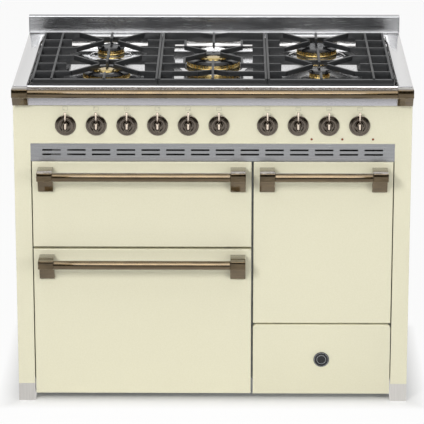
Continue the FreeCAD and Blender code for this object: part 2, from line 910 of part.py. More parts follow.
def centre_support():
    """The support over the wok burner, with dog-leg fingers from the outer rows."""
    width, finger = mm("support_bar"), mm("finger_width")
    bottom, top = mm("support_bottom"), mm("support_top")
    finger_low = mm("finger_bottom")
    edge = mm("support_inner_x")
    burner_y = mm("wok_burner_y")
    rear_row, front_row = mm("rear_burner_y"), mm("front_burner_y")
    span = mm("finger_span")
    rear = rear_row + span + width / 2
    apron_back = mm("support_gap + apron_depth")
    rib = edge - mm("centre_rib")
    bars = frame_bars((-edge, edge), rear, apron_back)
    bow_x, bow_y = mm("wok_finger_x") / 2, mm("finger_tip_x")
    elbow_x, elbow_y = mm("wok_finger_x"), mm("wok_finger_y")
    tip_x, tip_y = mm("finger_tip_x"), mm("finger_tip_y") * 2
    for side in (-1, 1):
        for centre in (rear_row, front_row):
            for row in (centre + span, centre, centre - span):
                bars.append(bar((side * edge, row), (side * rib, row), width, bottom, top))
        for step, row in ((1, rear_row), (-1, front_row)):
            corner = (side * elbow_x, row)
            turn = (side * elbow_x, burner_y + step * elbow_y)
            tip = (side * tip_x, burner_y + step * tip_y)
            beyond = (side * elbow_x, row + step * finger / 2)
            bars.append(bar((side * rib, row), corner, finger, finger_low, top))
            bars.append(bar(beyond, turn, finger, finger_low, top))
            bars.append(bar(turn, tip, finger, finger_low, top))
            outer_row = row + step * span
            bend = (side * bow_x, outer_row)
            join = (0, outer_row - step * bow_y)
            bars.append(bar((side * rib, outer_row), bend, finger, finger_low, top))
            bars.append(bar(bend, join, finger, finger_low, top))
    axial = mm("wok_axial_tip")
    for start, end in ((rear, burner_y + axial), (apron_back / 2, burner_y - axial)):
        bars.append(bar((0, start), (0, end), finger, finger_low, top))
    bars.append(bar((-rib, rear_row + span), (rib, rear_row + span), finger, bottom, finger_low))
    return cast_grid(bars, "centre_grid")


sub_part("pan_support_left", side_support(-1))
sub_part("pan_support_centre", centre_support())
sub_part("pan_support_right", side_support(1))


# Handles and front rail

def corbel(x_span, foot_y, top, reach, height):
    """A bracket whose head carries the bar and whose back slopes down to the face behind it."""
    head = f"{foot_y} - ({reach})"
    outline = [
        (foot_y, top),
        (head, top),
        (head, f"{top} - bracket_head"),
        (f"{foot_y} - bracket_waist", f"{top} - bracket_head - bracket_undercut"),
        (f"{foot_y} - bracket_foot", f"{top} - ({height})"),
        (foot_y, f"{top} - ({height})"),
    ]
    bracket = padded("x", x_span, [outline])
    waist = (mm(f"{foot_y} - bracket_waist"), mm(f"{top} - bracket_head - bracket_undercut"))
    return rounded(bracket, "bracket_round", lambda edge: runs_along(edge, "x", waist))


def door_handle(low, high, bottom, top):
    """Two brackets near the door's sides and the bar between them."""
    level = f"{top} - bracket_drop"
    left = (f"{low} + bracket_inset", f"{low} + bracket_inset + bracket_width")
    right = (f"{high} - bracket_inset - bracket_width", f"{high} - bracket_inset")
    axis = ("-handle_reach + bar_diameter / 2", f"{level} - bar_diameter / 2 - bar_drop")
    return [
        corbel(left, "0", level, "handle_reach", "bracket_height"),
        corbel(right, "0", level, "handle_reach", "bracket_height"),
        rod("x", axis, (left[1], right[0]), "bar_diameter"),
    ]


def front_rail():
    """The towel rail across the worktop's nose, between two corner blocks."""
    foot = "-nose_overhang"
    top = "worktop_height - 0.5"
    blocks = [
        corbel(
            mirrored_span(side, "well_half", "half_width"),
            foot,
            top,
            "rail_reach",
            "rail_block_height",
        )
        for side in ("-1", "1")
    ]
    axis = (f"{foot} - rail_reach + bar_diameter / 2", f"{top} - bar_diameter / 2 - bar_drop")
    return [*blocks, rod("x", axis, ("-well_half", "well_half"), "bar_diameter")]


sub_part("front_rail", *front_rail())


# Control panel

LEFT_KNOBS = int(mm("left_knobs"))
RIGHT_KNOBS = int(mm("right_knobs"))
GAS_KNOBS = int(mm("gas_knobs"))
KNOBS = [f"(first_knob_x + {place} * knob_pitch)" for place in range(LEFT_KNOBS)]
KNOBS += [f"(second_group_x + {place} * knob_pitch)" for place in range(RIGHT_KNOBS)]
LAMPS = [f"({x} + lamp_offset_x)" for x in KNOBS[LEFT_KNOBS + 1:]]
LAMP_LEVEL = "knob_height - lamp_drop"
# The ten knobs are round on the cooker; few sides keep the model light.
BEZEL_SIDES = 24
BARREL_SIDES = 16
GRIP_SIDES = 12


def folded_face(bottom, top, depth):
    """A front sheet with its upper and lower edges folded back, between the posts."""
    outline = [
        ("0", bottom),
        (depth, bottom),
        (depth, f"{bottom} + sheet"),
        ("sheet", f"{bottom} + sheet"),
        ("sheet", f"{top} - sheet"),
        (depth, f"{top} - sheet"),
        (depth, top),
        ("0", top),
    ]
    return padded("x", ("-post_inner", "post_inner"), [outline])


def control_panel():
    panel = folded_face("panel_bottom", "panel_top", "flange")
    holes = [square(x, "knob_height", "panel_hole") for x in KNOBS]
    holes += [square(x, LAMP_LEVEL, "lamp_diameter + running_gap") for x in LAMPS]
    pocketed(panel, "y", ("-sheet", "sheet * 2"), holes)
    return panel


def vent_strip():
    """The steel strip with two rows of slots that cool the space behind the panel."""
    strip = folded_face("vent_bottom", "panel_bottom", "frame_front")
    first = "-(vent_slot_columns - 1) / 2 * vent_slot_pitch"
    length = (f"{first} - vent_slot_length / 2", f"{first} + vent_slot_length / 2")
    rows = [
        rectangle(
            length,
            (
                f"vent_bottom + {row} - vent_slot_height / 2",
                f"vent_bottom + {row} + vent_slot_height / 2",
            ),
        )
        for row in ("vent_row_low", "vent_row_high")
    ]
    pocket = pocketed(strip, "y", ("-sheet", "sheet * 2"), rows)
    pattern = strip.newObject("PartDesign::LinearPattern", "slots")
    pattern.Originals = [pocket]
    pattern.Direction = (pocket.Profile[0], ["H_Axis"])
    bind(pattern, "Length", "(vent_slot_columns - 1) * vent_slot_pitch")
    bind(pattern, "Occurrences", "vent_slot_columns")
    strip.Tip = pattern
    return strip


def knob_bezel(x):
    """The fixed disc behind a knob: a plate that steps forward from a rim."""
    centre = (x, "knob_height")
    rim = prism("y", centre, ("-bezel_rim", "0"), "bezel_diameter", BEZEL_SIDES)
    plate_span = ("-bezel_depth", "-bezel_rim / 2")
    plate = prism("y", centre, plate_span, "bezel_plate", BEZEL_SIDES)
    return cut(fuse(rim, plate), square_bar(x, ("-bezel_depth - 1", "1"), "panel_hole"))


def knob(x, stem_back):
    """A barrel with an upright grip, a pointer fin and a square stem back through the panel."""
    barrel_span = ("-barrel_reach", "knob_back")
    barrel = prism("y", (x, "knob_height"), barrel_span, "barrel_diameter", BARREL_SIDES)
    half = "grip_height / 2"
    grip_level = (f"knob_height - {half}", f"knob_height + {half}")
    grip_place = (x, "grip_diameter / 2 - knob_reach")
    grip = prism("z", grip_place, grip_level, "grip_diameter", GRIP_SIDES)
    root, tip = "barrel_diameter / 4", "pointer_radius"
    fin = [
        ("knob_back - 1", root),
        ("knob_back - 1", f"{tip} - pointer_bevel"),
        ("knob_back - 1 - pointer_bevel", tip),
        ("knob_back - pointer_depth", root),
    ]
    blade = padded("x", (f"{x} - pointer_width / 2", f"{x} + pointer_width / 2"), [
        [(y, f"knob_height + {level}") for y, level in fin]
    ])
    stem = square_bar(x, ("knob_back - 2", stem_back), "stem_width")
    return fuse(barrel, grip, blade, stem)


def square_bar(x, span, width):
    """A square bar along Y at knob height."""
    half = f"({width}) / 2"
    return block(
        (f"{x} - {half}", f"{x} + {half}"),
        span,
        (f"knob_height - {half}", f"knob_height + {half}"),
    )


def tap_spindle(x):
    """The tap's own spindle, which the knob's stem pushes and turns against its spring."""
    return square_bar(x, ("sheet", "collar_depth + flange"), "spindle_width")


def gas_manifold():
    """Five taps on a rail, and the supply pipe back to the inlet."""
    level = "knob_height"
    taps = []
    for x in KNOBS[:GAS_KNOBS]:
        collar = square_bar(x, ("sheet", "collar_depth"), "collar_width")
        body = square_bar(x, ("collar_depth", "tap_back"), "tap_width")
        taps += [collar, body]
    bore_end = "collar_depth + flange + push_travel + running_gap"
    bores = [square_bar(x, ("0", bore_end), "stem_hole") for x in KNOBS[:GAS_KNOBS]]
    rail_end = f"{KNOBS[GAS_KNOBS - 1]} + tap_width"
    half = "manifold_width / 2"
    rail = block(
        (f"inlet_x - {half}", rail_end),
        ("tap_back", "tap_back + manifold_width"),
        (f"{level} - {half}", f"{level} + {half}"),
    )
    inlet_start = "body_back - sheet - inlet_length"
    pipe_span = ("tap_back + manifold_width", inlet_start)
    pipe = prism("y", ("inlet_x", level), pipe_span, "supply_pipe", 12)
    stub = rod("y", ("inlet_x", level), (inlet_start, "body_back - sheet"), "inlet_diameter")
    return cut(fuse(*taps, rail, pipe, stub), *bores)


def oven_switch(x):
    """A rotary switch or thermostat behind the panel."""
    collar = square_bar(x, ("sheet", "collar_depth"), "collar_width")
    body = square_bar(x, ("collar_depth", "collar_depth + switch_depth"), "switch_width")
    bore = square_bar(x, ("0", "switch_stem_back + running_gap"), "stem_hole")
    return cut(fuse(collar, body), bore)


def indicator_lamp(x):
    lens = prism("y", (x, LAMP_LEVEL), ("-sheet", "0"), "lamp_flange", 12)
    half = "lamp_diameter / 2"
    barrel = block(
        (f"{x} - {half}", f"{x} + {half}"),
        ("-sheet / 2", "flange / 2"),
        (f"{LAMP_LEVEL} - {half}", f"{LAMP_LEVEL} + {half}"),
    )
    return fuse(lens, barrel)


sub_part("control_panel", control_panel())
sub_part("vent_strip", vent_strip())
sub_part("knob_bezels", *[knob_bezel(x) for x in KNOBS])
sub_part("indicator_lamps", *[indicator_lamp(x) for x in LAMPS])
sub_part("gas_manifold", gas_manifold())
sub_part("oven_switches", *[oven_switch(x) for x in KNOBS[GAS_KNOBS:]])
for number, x in enumerate(KNOBS, 1):
    stem_back = "sheet - running_gap" if number <= GAS_KNOBS else "switch_stem_back"
    sub_part(f"knob_{number:02d}", knob(x, stem_back))
for number, x in enumerate(KNOBS[:GAS_KNOBS], 1):
    sub_part(f"tap_spindle_{number}", tap_spindle(x))


# Ovens

def cavity(low, high, bottom, top, back, ledges, hole=None):
    """An enamelled box open to the front, with shelf ledges along both sides."""
    left, right = f"{low} + cavity_margin", f"{high} - cavity_margin"
    floor, roof = f"{bottom} + cavity_lift", f"{top} - cavity_drop"
    outer = block(
        (f"{left} - sheet", f"{right} + sheet"),
        ("frame_back", f"{back} + sheet"),
        (f"{floor} - sheet", f"{roof} + sheet"),
    )
    inner = block((left, right), ("frame_back - 1", back), (floor, roof))
    tools = [inner]
    if hole:
        tools.append(prism("y", hole, (f"{back} - 1", f"{back} + sheet + 1"), "fan_shaft * 2", 8))
    shelves = []
    for level in ledges:
        ledge = f"{floor} + {level} * ledge_pitch"
        height = (ledge, f"{ledge} + ledge_height")
        span = ("frame_back + flange", f"{back} - fan_cover_depth - flange")
        shelves.append(block((left, f"{left} + ledge_depth"), span, height))
        shelves.append(block((f"{right} - ledge_depth", right), span, height))
    return fuse(cut(outer, *tools), *shelves)


def door_seal(low, high, bottom, top):
    """The gasket round an oven's mouth."""
    left, right = f"{low} + cavity_margin", f"{high} - cavity_margin"
    floor, roof = f"{bottom} + cavity_lift", f"{top} - cavity_drop"
    outer = rectangle(
        (f"{left} - seal_reach", f"{right} + seal_reach"),
        (f"{floor} - seal_reach", f"{roof} + seal_reach"),
    )
    inner = rectangle(
        (f"{left} - seal_inset", f"{right} + seal_inset"),
        (f"{floor} - seal_inset", f"{roof} + seal_inset"),
    )
    return padded("y", ("door_depth + running_gap", "frame_front"), [outer, inner])


def wire(axis, centre, span, width):
    """A square wire along X or Y, its ends half a width past the span."""
    half = f"({width}) / 2"
    along = (f"({span[0]}) - {half}", f"({span[1]}) + {half}")
    across, level = [(f"{middle} - {half}", f"{middle} + {half}") for middle in centre]
    return block(along, across, level) if axis == "x" else block(across, along, level)


def wire_shelf(low, high, bottom, level, back):
    """A chromed shelf lying on a pair of ledges."""
    left = f"{low} + cavity_margin + shelf_clearance + shelf_wire / 2"
    right = f"{high} - cavity_margin - shelf_clearance - shelf_wire / 2"
    height = f"{bottom} + cavity_lift + {level} * ledge_pitch + ledge_height + shelf_wire / 2"
    front = "frame_back + flange + shelf_wire"
    rear = f"{back} - fan_cover_depth - flange - shelf_wire"
    wires = [
        wire("y", (left, height), (front, rear), "shelf_wire"),
        wire("y", (right, height), (front, rear), "shelf_wire"),
        wire("x", (front, height), (left, right), "shelf_wire"),
        wire("x", (rear, height), (left, right), "shelf_wire"),
    ]
    count = int(mm("shelf_grid_count"))
    for place in range(1, count + 1):
        x = f"{left} + {place} * (({right}) - ({left})) / {count + 1}"
        wires.append(wire("y", (x, height), (front, rear), "shelf_grid_wire"))
    return fuse(*wires)


def roof_element(low, high, top, back):
    """A grill element: a tube that runs to and fro under the oven's roof, up to its back wall."""
    left, right = f"{low} + cavity_margin + 3 * flange", f"{high} - cavity_margin - 3 * flange"
    level = f"{top} - cavity_drop - element_drop"
    rear, front = f"{back} - 3 * flange", "frame_back + 3 * flange"
    passes = 4
    tubes = []
    rows = [f"{front} + {place} * (({rear}) - ({front})) / {passes - 1}" for place in range(passes)]
    for row in rows:
        tubes.append(wire("x", (row, level), (left, right), "element_tube"))
    for place in range(passes - 1):
        side = right if place % 2 == 0 else left
        tubes.append(wire("y", (side, level), (rows[place], rows[place + 1]), "element_tube"))
    end = (f"{left} - element_tube / 2", f"{left} + element_tube / 2")
    height = (f"{level} - element_tube / 2", f"{level} + element_tube / 2")
    tubes.append(block(end, (rows[-1], back), height))
    hanger_end = (f"{right} - element_tube / 2", f"{right} + element_tube / 2")
    first = (f"{rows[0]} - element_tube / 2", f"{rows[0]} + element_tube / 2")
    tubes.append(block(hanger_end, first, (level, f"{top} - cavity_drop")))
    return fuse(*tubes)


def ring_element():
    """The tube round the fan, held off the back wall on two stubs."""
    middle = "fan_back - fan_depth / 2"
    span = (f"{middle} - element_tube / 2", f"{middle} + element_tube / 2")
    centre = ("fan_x", "fan_z")
    band = cut(
        prism("y", centre, span, "ring_element_diameter + element_tube", 24),
        prism("y", centre, span, "ring_element_diameter - element_tube", 24),
    )
    stubs = [
        prism(
            "y",
            (f"fan_x + {side} * ring_element_diameter / 2", "fan_z"),
            (middle, "oven_back"),
            "element_tube - 1",
        )
        for side in ("-1", "1")
    ]
    return fuse(band, *stubs)


def oven_fan():
    """A hub on its shaft with bent blades."""
    centre = ("fan_x", "fan_z")
    hub = prism("y", centre, ("fan_back - fan_depth", "fan_back"), "fan_hub", 12)
    shaft = rod("y", centre, ("fan_back - 1", "oven_back + sheet + flange"), "fan_shaft")
    disc = prism("y", centre, ("fan_back - fan_blade", "fan_back"), "fan_diameter", 24)
    blades = []
    count = int(mm("fan_blades"))
    for place in range(count):
        blade = block(
            ("fan_hub / 2 - 3", "fan_diameter / 2 - 2"),
            ("fan_back - fan_depth", "fan_back - fan_blade / 2"),
            ("-fan_blade / 2", "fan_blade / 2"),
        )
        turn = 360 / count * place
        blade.Placement.Rotation = FreeCAD.Rotation(Vector(0, 1, 0), turn)
        angle = math.radians(turn)
        along, across = math.cos(angle), math.sin(angle)
        start, half = "(fan_hub / 2 - 3)", "(fan_blade / 2)"
        bind(blade, "Placement.Base.x", f"fan_x + {along} * {start} - {across} * {half}")
        bind(blade, "Placement.Base.z", f"fan_z - {across} * {start} - {along} * {half}")
        blades.append(blade)
    return fuse(hub, shaft, disc, *blades)


def fan_cover():
    """The guard over the fan: a tray on the back wall with a ring of intake slots."""
    half_x, half_z = "fan_cover_width / 2", "fan_cover_height / 2"
    front = "oven_back - fan_cover_depth"
    outer = block(
        (f"fan_x - {half_x}", f"fan_x + {half_x}"),
        (front, "oven_back"),
        (f"fan_z - {half_z}", f"fan_z + {half_z}"),
    )
    inner = block(
        (f"fan_x - {half_x} + sheet", f"fan_x + {half_x} - sheet"),
        (f"{front} + sheet", "oven_back + 1"),
        (f"fan_z - {half_z} + sheet", f"fan_z + {half_z} - sheet"),
    )
    slots = []
    for row in range(-3, 4):
        level = f"fan_z + {row} * cover_slot_pitch"
        for side in ("-1", "1"):
            low, high = mirrored_span(side, "cover_slot_start", "cover_slot_end")
            slots.append(
                block(
                    (f"fan_x + {low}", f"fan_x + {high}"),
                    (f"{front} - 1", f"{front} + sheet + 1"),
                    (f"{level} - cover_slot_height / 2", f"{level} + cover_slot_height / 2"),
                )
            )
    return cut(outer, inner, *slots)


def fan_motor():
    centre = ("fan_x", "fan_z")
    start = "oven_back + sheet"
    body = prism("y", centre, (start, f"{start} + motor_depth"), "motor_diameter", 16)
    bore_span = (f"{start} - 1", f"{start} + flange + running_gap")
    bore = prism("y", centre, bore_span, "fan_shaft + running_gap * 5", 8)
    return cut(body, bore)


FAN_HOLE = ("fan_x", "fan_z")
sub_part("main_oven_cavity", cavity(*DOORS["main"], "oven_back", (1, 2, 3), FAN_HOLE))
sub_part("grill_cavity", cavity(*DOORS["grill"], "grill_back", (1,)))
sub_part("side_oven_cavity", cavity(*DOORS["side"], "oven_back", (1, 2, 3, 4)))
sub_part("door_seals", *[door_seal(*edges) for edges in DOORS.values()])
sub_part(
    "oven_shelves",
    wire_shelf("left_low", "left_high", "door_bottom", 2, "oven_back"),
    wire_shelf("left_low", "left_high", "grill_door_bottom", 1, "grill_back"),
    wire_shelf("right_low", "right_high", "side_door_bottom", 2, "oven_back"),
)
sub_part(
    "heating_elements",
    ring_element(),
    roof_element("left_low", "left_high", "doors_top", "grill_back"),
    roof_element("right_low", "right_high", "doors_top", "oven_back"),
)
sub_part("oven_fan", oven_fan())
sub_part("fan_cover", fan_cover())
sub_part("fan_motor", fan_motor())


# Doors

def hinge_places(low, high):
    """The middle of each hinge along X."""
    return (f"{low} + hinge_inset", f"{high} - hinge_inset")


def hinge_notch(x, bottom):
    """The room that a hinge lug needs at the door's lower back corner."""
    return block(
        (f"{x} - notch_half", f"{x} + notch_half"),
        ("hinge_y - notch_reach", "door_depth + 1"),
        (f"{bottom} - 1", f"{bottom} + hinge_rise + notch_reach"),
    )


def door_panel(low, high, bottom, top):
    """The enamelled front: a pan with its edges folded back."""
    outer = padded("y", ("0", "door_skin"), [rectangle((low, high), (bottom, top))])
    rounded(outer, "door_round", lambda edge: abs(edge.BoundBox.YMax) < 0.01)
    inner = block(
        (f"{low} + sheet", f"{high} - sheet"),
        ("sheet", "door_skin + 1"),
        (f"{bottom} + sheet", f"{top} - sheet"),
    )
    notches = [hinge_notch(x, bottom) for x in hinge_places(low, high)]
    return cut(outer, inner, *notches)


def door_liner(low, high, bottom, top):
    """The inner door: a plate, the raised plug that meets the seal, and the hinge cheeks and pins."""
    plate = block((low, high), ("door_skin", "door_skin + liner_plate"), (bottom, top))
    step = "liner_step"
    plug = block(
        (f"{low} + {step}", f"{high} - {step}"),
        ("door_skin + liner_plate", "door_depth"),
        (f"{bottom} + {step}", f"{top} - {step}"),
    )
    cheeks, pins = [], []
    for x in hinge_places(low, high):
        for side in ("-1", "1"):
            edges = (f"{x} + notch_half", f"{x} + notch_half + hinge_cheek")
            if side == "-1":
                edges = (f"{x} - notch_half - hinge_cheek", f"{x} - notch_half")
            level = (f"{bottom} + sheet", f"{bottom} + hinge_rise + hinge_eye")
            cheeks.append(block(edges, ("sheet", "door_skin + 1"), level))
        ends = (f"{x} - notch_half - 1", f"{x} + notch_half + 1")
        pins.append(rod("x", ("hinge_y", f"{bottom} + hinge_rise"), ends, "hinge_pin"))
    notches = [hinge_notch(x, bottom) for x in hinge_places(low, high)]
    return fuse(cut(fuse(plate, plug, *cheeks), *notches), *pins)


def hinge_lug(x, bottom):
    """A lug from the front frame with the eye that the door's pin turns in."""
    level = f"{bottom} + hinge_rise"
    half, eye = "hinge_lug / 2", "hinge_eye / 2"
    span = (f"{x} - {half}", f"{x} + {half}")
    arm = block(span, ("hinge_y", "frame_front"), (f"{level} - {eye}", f"{level} + {eye}"))
    round_end = prism("x", ("hinge_y", level), span, "hinge_eye", 8)
    foot = block(
        (f"{x} - hinge_eye", f"{x} + hinge_eye"),
        ("frame_front - frame_sheet", "frame_front"),
        (f"{level} - {eye}", f"{level} + {eye}"),
    )
    bore_span = (f"{x} - {half} - 1", f"{x} + {half} + 1")
    bore = prism("x", ("hinge_y", level), bore_span, "hinge_pin + hinge_clearance * 2", 8)
    return cut(fuse(arm, round_end, foot), bore)


sub_part(
    "door_hinges",
    *[
        hinge_lug(x, bottom)
        for low, high, bottom, top in DOORS.values()
        for x in hinge_places(low, high)
    ],
)
for name, edges in DOORS.items():
    sub_part(f"{name}_door_panel", door_panel(*edges))
    sub_part(f"{name}_door_liner", door_liner(*edges))
    sub_part(f"{name}_door_handle", *door_handle(*edges))


# Drawer

def drawer_front():
    """The drawer's enamelled front, with round upper corners."""
    face = rectangle(("right_low", "right_high"), ("door_bottom", "drawer_top"))
    front = padded("y", ("0", "drawer_front_depth"), [face])
    corners = [(mm("right_low"), mm("drawer_top")), (mm("right_high"), mm("drawer_top"))]
    rounded(front, "drawer_corner", lambda edge: runs_along(edge, "y", *corners))
    inner = block(
        ("right_low + sheet", "right_high - sheet"),
        ("sheet", "drawer_front_depth + 1"),
        ("door_bottom + sheet", "drawer_top - drawer_corner"),
    )
    return cut(front, inner)


def drawer_box():
    """The open box, with a rail along each side."""
    left, right = "bay_low + drawer_clearance", "bay_high - drawer_clearance"
    top = "box_bottom + drawer_box_height"
    outer = block((left, right), ("drawer_front_depth", "box_back"), ("box_bottom", top))
    inner = block(
        (f"{left} + sheet", f"{right} - sheet"),
        ("drawer_front_depth + sheet", "box_back - sheet"),
        ("box_bottom + sheet", f"{top} + 1"),
    )
    rail_level = ("runner_z - rail_height / 2", "runner_z + rail_height / 2")
    rail_run = ("frame_back + rail_set_back", "box_back")
    gap = "runner_reach - runner_depth + running_gap"
    rails = [
        block((f"bay_low + {gap}", f"{left} + sheet"), rail_run, rail_level),
        block((f"{right} - sheet", f"bay_high - ({gap})"), rail_run, rail_level),
    ]
    tie = block(
        (left, right),
        ("sheet", "drawer_front_depth + sheet"),
        ("runner_z - rail_height", "runner_z + rail_height"),
    )
    return fuse(cut(outer, inner), *rails, tie)


def drawer_runner(side):
    """A channel behind the front frame that the drawer's rail runs in, with a stand at the back."""
    mouth = "bay_low" if side == "-1" else "bay_high"
    out = "-1" if side == "-1" else "1"

    def across(near, far):
        """The span between two reaches into the bay, from its edge."""
        span = (f"{mouth} - {out} * ({near})", f"{mouth} - {out} * ({far})")
        return span if side == "-1" else span[::-1]

    half = "runner_height / 2"
    body = block(
        across("-runner_depth", "runner_reach"),
        ("frame_back", "box_back + flange"),
        (f"runner_z - {half}", f"runner_z + {half}"),
    )
    slot = block(
        across("runner_reach - runner_depth", "runner_reach + 1"),
        ("frame_back - 1", "box_back + 3"),
        ("runner_z - rail_height / 2 - running_gap", "runner_z + rail_height / 2 + running_gap"),
    )
    stand = block(
        across("-runner_depth", "runner_reach"),
        ("box_back + 3", "box_back + flange"),
        ("tray_top", "runner_z"),
    )
    return fuse(cut(body, slot), stand)


def drawer_badge():
    """A plain round boss in the middle of the drawer front."""
    middle = ("(right_low + right_high) / 2", "(door_bottom + drawer_top) / 2")
    return rod("y", middle, ("-badge_depth", "0"), "badge_diameter")


sub_part("drawer_front", drawer_front())
sub_part("drawer_box", drawer_box())
sub_part("drawer_badge", drawer_badge())
sub_part("drawer_runners", *both_sides(drawer_runner))


# Checks and files

doc.recompute()
FAILED_STATES = {"Invalid", "Error"}
for thing in doc.Objects:
    if FAILED_STATES & set(thing.State):
        raise RuntimeError(f"{thing.Name} failed: {thing.State}")

os.makedirs("parts", exist_ok=True)
facets = 0
for label, group in parts.items():
    shape = group.Shape
    if shape.isNull() or not shape.isValid() or not shape.Solids:
        raise RuntimeError(f"{label} has no valid solid")
    count = len(shape.copy().tessellate(0.5)[1])
    facets += count
    box = shape.BoundBox
    print(
        f"{label}: {len(shape.Solids)} solids, {count} facets, "
        f"X {box.XMin:.1f} {box.XMax:.1f} Y {box.YMin:.1f} {box.YMax:.1f} Z {box.ZMin:.1f} {box.ZMax:.1f}"
    )
    shape.exportStep(f"parts/{label}.step")
print(f"{len(parts)} sub-parts, {facets} facets")
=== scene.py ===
# %% [markdown]
# # A cream range cooker with bronze handles
# The object is a wide gas cooker: a pressed steel hob with cast pan supports, a panel of bronze
# knobs, three drop-down doors and a drawer. The CAD part gives every piece its place and size.
# This script gives the pieces their surfaces, and builds again the ones whose small forms the
# plain CAD solids leave out, such as stepped bezels, flame ports and rounded castings.

# %% The frame
import math

import bmesh
import bpy
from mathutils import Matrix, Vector


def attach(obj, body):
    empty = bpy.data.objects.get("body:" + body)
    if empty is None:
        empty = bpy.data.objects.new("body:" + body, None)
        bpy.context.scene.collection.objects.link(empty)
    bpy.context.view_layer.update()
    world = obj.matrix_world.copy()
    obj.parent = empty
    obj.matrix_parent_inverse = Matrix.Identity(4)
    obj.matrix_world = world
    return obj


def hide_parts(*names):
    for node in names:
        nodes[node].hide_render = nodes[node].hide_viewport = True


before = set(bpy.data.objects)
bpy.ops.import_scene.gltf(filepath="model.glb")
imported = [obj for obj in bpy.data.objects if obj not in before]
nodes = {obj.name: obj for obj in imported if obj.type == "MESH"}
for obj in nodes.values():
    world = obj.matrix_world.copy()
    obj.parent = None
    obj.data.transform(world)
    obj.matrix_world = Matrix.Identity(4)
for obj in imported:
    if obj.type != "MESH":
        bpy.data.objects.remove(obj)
bpy.ops.object.select_all(action="DESELECT")
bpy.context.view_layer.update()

# %% [markdown]
# ## Sizes
# The CAD part is centred on its own box, so that its front face is not at zero. The measures below
# are in millimetres and count from the front face of the corner posts and from the ground, and
# `place` turns them into the frame's metres. Only `FRONT` is in metres.

# %% Shared measures
MM = 0.001
FRONT = -268.5 * MM
KNOB_LEVEL = 736
KNOB_PITCH = 77
KNOB_PLACES = [-369 + KNOB_PITCH * count for count in range(6)]
KNOB_PLACES += [137.5 + KNOB_PITCH * count for count in range(4)]
GAS_KNOBS = 5
WELL_FLOOR = 815
WORKTOP = 840


def place(x, y, z):
    """A point given in millimetres from the front face of the posts, in the frame."""
    return Vector((x * MM, FRONT + y * MM, z * MM))


# %% [markdown]
# ## Helpers for colour and nodes
# Colours are written as hex values, as on a screen, and Blender works in linear light. One small
# function adds a node, sets its values and links what feeds it, so that each finish below reads
# as a short list of what the surface is made of.

# %% Colour and node helpers
def linear(code):
    """A screen colour such as E6E2C7 as the linear values that a shader works in."""
    steps = [int(code[start:start + 2], 16) / 255 for start in (0, 2, 4)]
    return tuple(s / 12.92 if s <= 0.04045 else ((s + 0.055) / 1.055) ** 2.4 for s in steps) + (1,)


def add_node(tree, kind, sockets=None, **settings):
    """Adds a node; a socket is given a value, or another node's output to link from."""
    node = tree.nodes.new(kind)
    for name, value in settings.items():
        setattr(node, name, value)
    for name, value in (sockets or {}).items():
        if isinstance(value, bpy.types.NodeSocket):
            tree.links.new(value, node.inputs[name])
        else:
            node.inputs[name].default_value = value
    return node


# %% [markdown]
# ## A general surface
# Most finishes here are one material whose colour drifts a little, whose gloss is uneven and whose
# face is not quite flat. A noise in real millimetres, stretched along the direction that the
# surface was brushed or rolled in, drives all three.

# %% The general surface
def finish(name, colours, gloss, metallic=0.0, grain=2.0, stretch=(1, 1, 1), relief=0.1, **shader):
    """A material: two colours, the lowest and highest roughness, and a grain in millimetres."""
    material = bpy.data.materials.new(name)
    material.use_nodes = True
    tree = material.node_tree
    surface = tree.nodes["Principled BSDF"]
    surface.inputs["Metallic"].default_value = metallic
    for socket, value in shader.items():
        surface.inputs[socket.replace("_", " ").title().replace("Ior", "IOR")].default_value = value
    where = add_node(tree, "ShaderNodeTexCoord")
    size = [1 / (grain * MM * side) for side in stretch]
    scaled = add_node(tree, "ShaderNodeMapping", {"Vector": where.outputs["Object"], "Scale": size})
    noise = add_node(
        tree,
        "ShaderNodeTexNoise",
        {"Vector": scaled.outputs["Vector"], "Scale": 1.0, "Detail": 4.0, "Roughness": 0.55},
    )
    ramp = add_node(tree, "ShaderNodeValToRGB", {"Fac": noise.outputs["Fac"]})
    ramp.color_ramp.elements[0].position = 0.3
    ramp.color_ramp.elements[1].position = 0.7
    ramp.color_ramp.elements[0].color = linear(colours[0])
    ramp.color_ramp.elements[1].color = linear(colours[1])
    uneven = add_node(
        tree,
        "ShaderNodeMapRange",
        {"Value": noise.outputs["Fac"], "To Min": gloss[0], "To Max": gloss[1]},
    )
    bump = add_node(
        tree,
        "ShaderNodeBump",
        {"Height": noise.outputs["Fac"], "Strength": relief, "Distance": grain * MM * 0.2},
    )
    tree.links.new(ramp.outputs["Color"], surface.inputs["Base Color"])
    tree.links.new(uneven.outputs["Result"], surface.inputs["Roughness"])
    tree.links.new(bump.outputs["Normal"], surface.inputs["Normal"])
    return material


# %% [markdown]
# ## Enamels
# Vitreous enamel is glass fired onto steel. It is even in colour and glossy, with a faint orange
# peel a few millimetres across that bends its reflections. The pan supports have a matt black
# enamel over sand-cast iron, so their grain is coarser and duller.

# %% Enamels
cream_enamel = finish(
    "vitreous_enamel_cream", ("E3DFC4", "E7E3CA"), (0.2, 0.26), grain=4, relief=0.03, ior=1.5
)
black_enamel = finish(
    "vitreous_enamel_black", ("0D0D0E", "141415"), (0.18, 0.26), grain=4, relief=0.03, ior=1.5
)
grate_enamel = finish(
    "matt_enamel_on_cast_iron", ("191A1B", "27282A"), (0.32, 0.46), grain=1.6, relief=0.3, ior=1.5
)
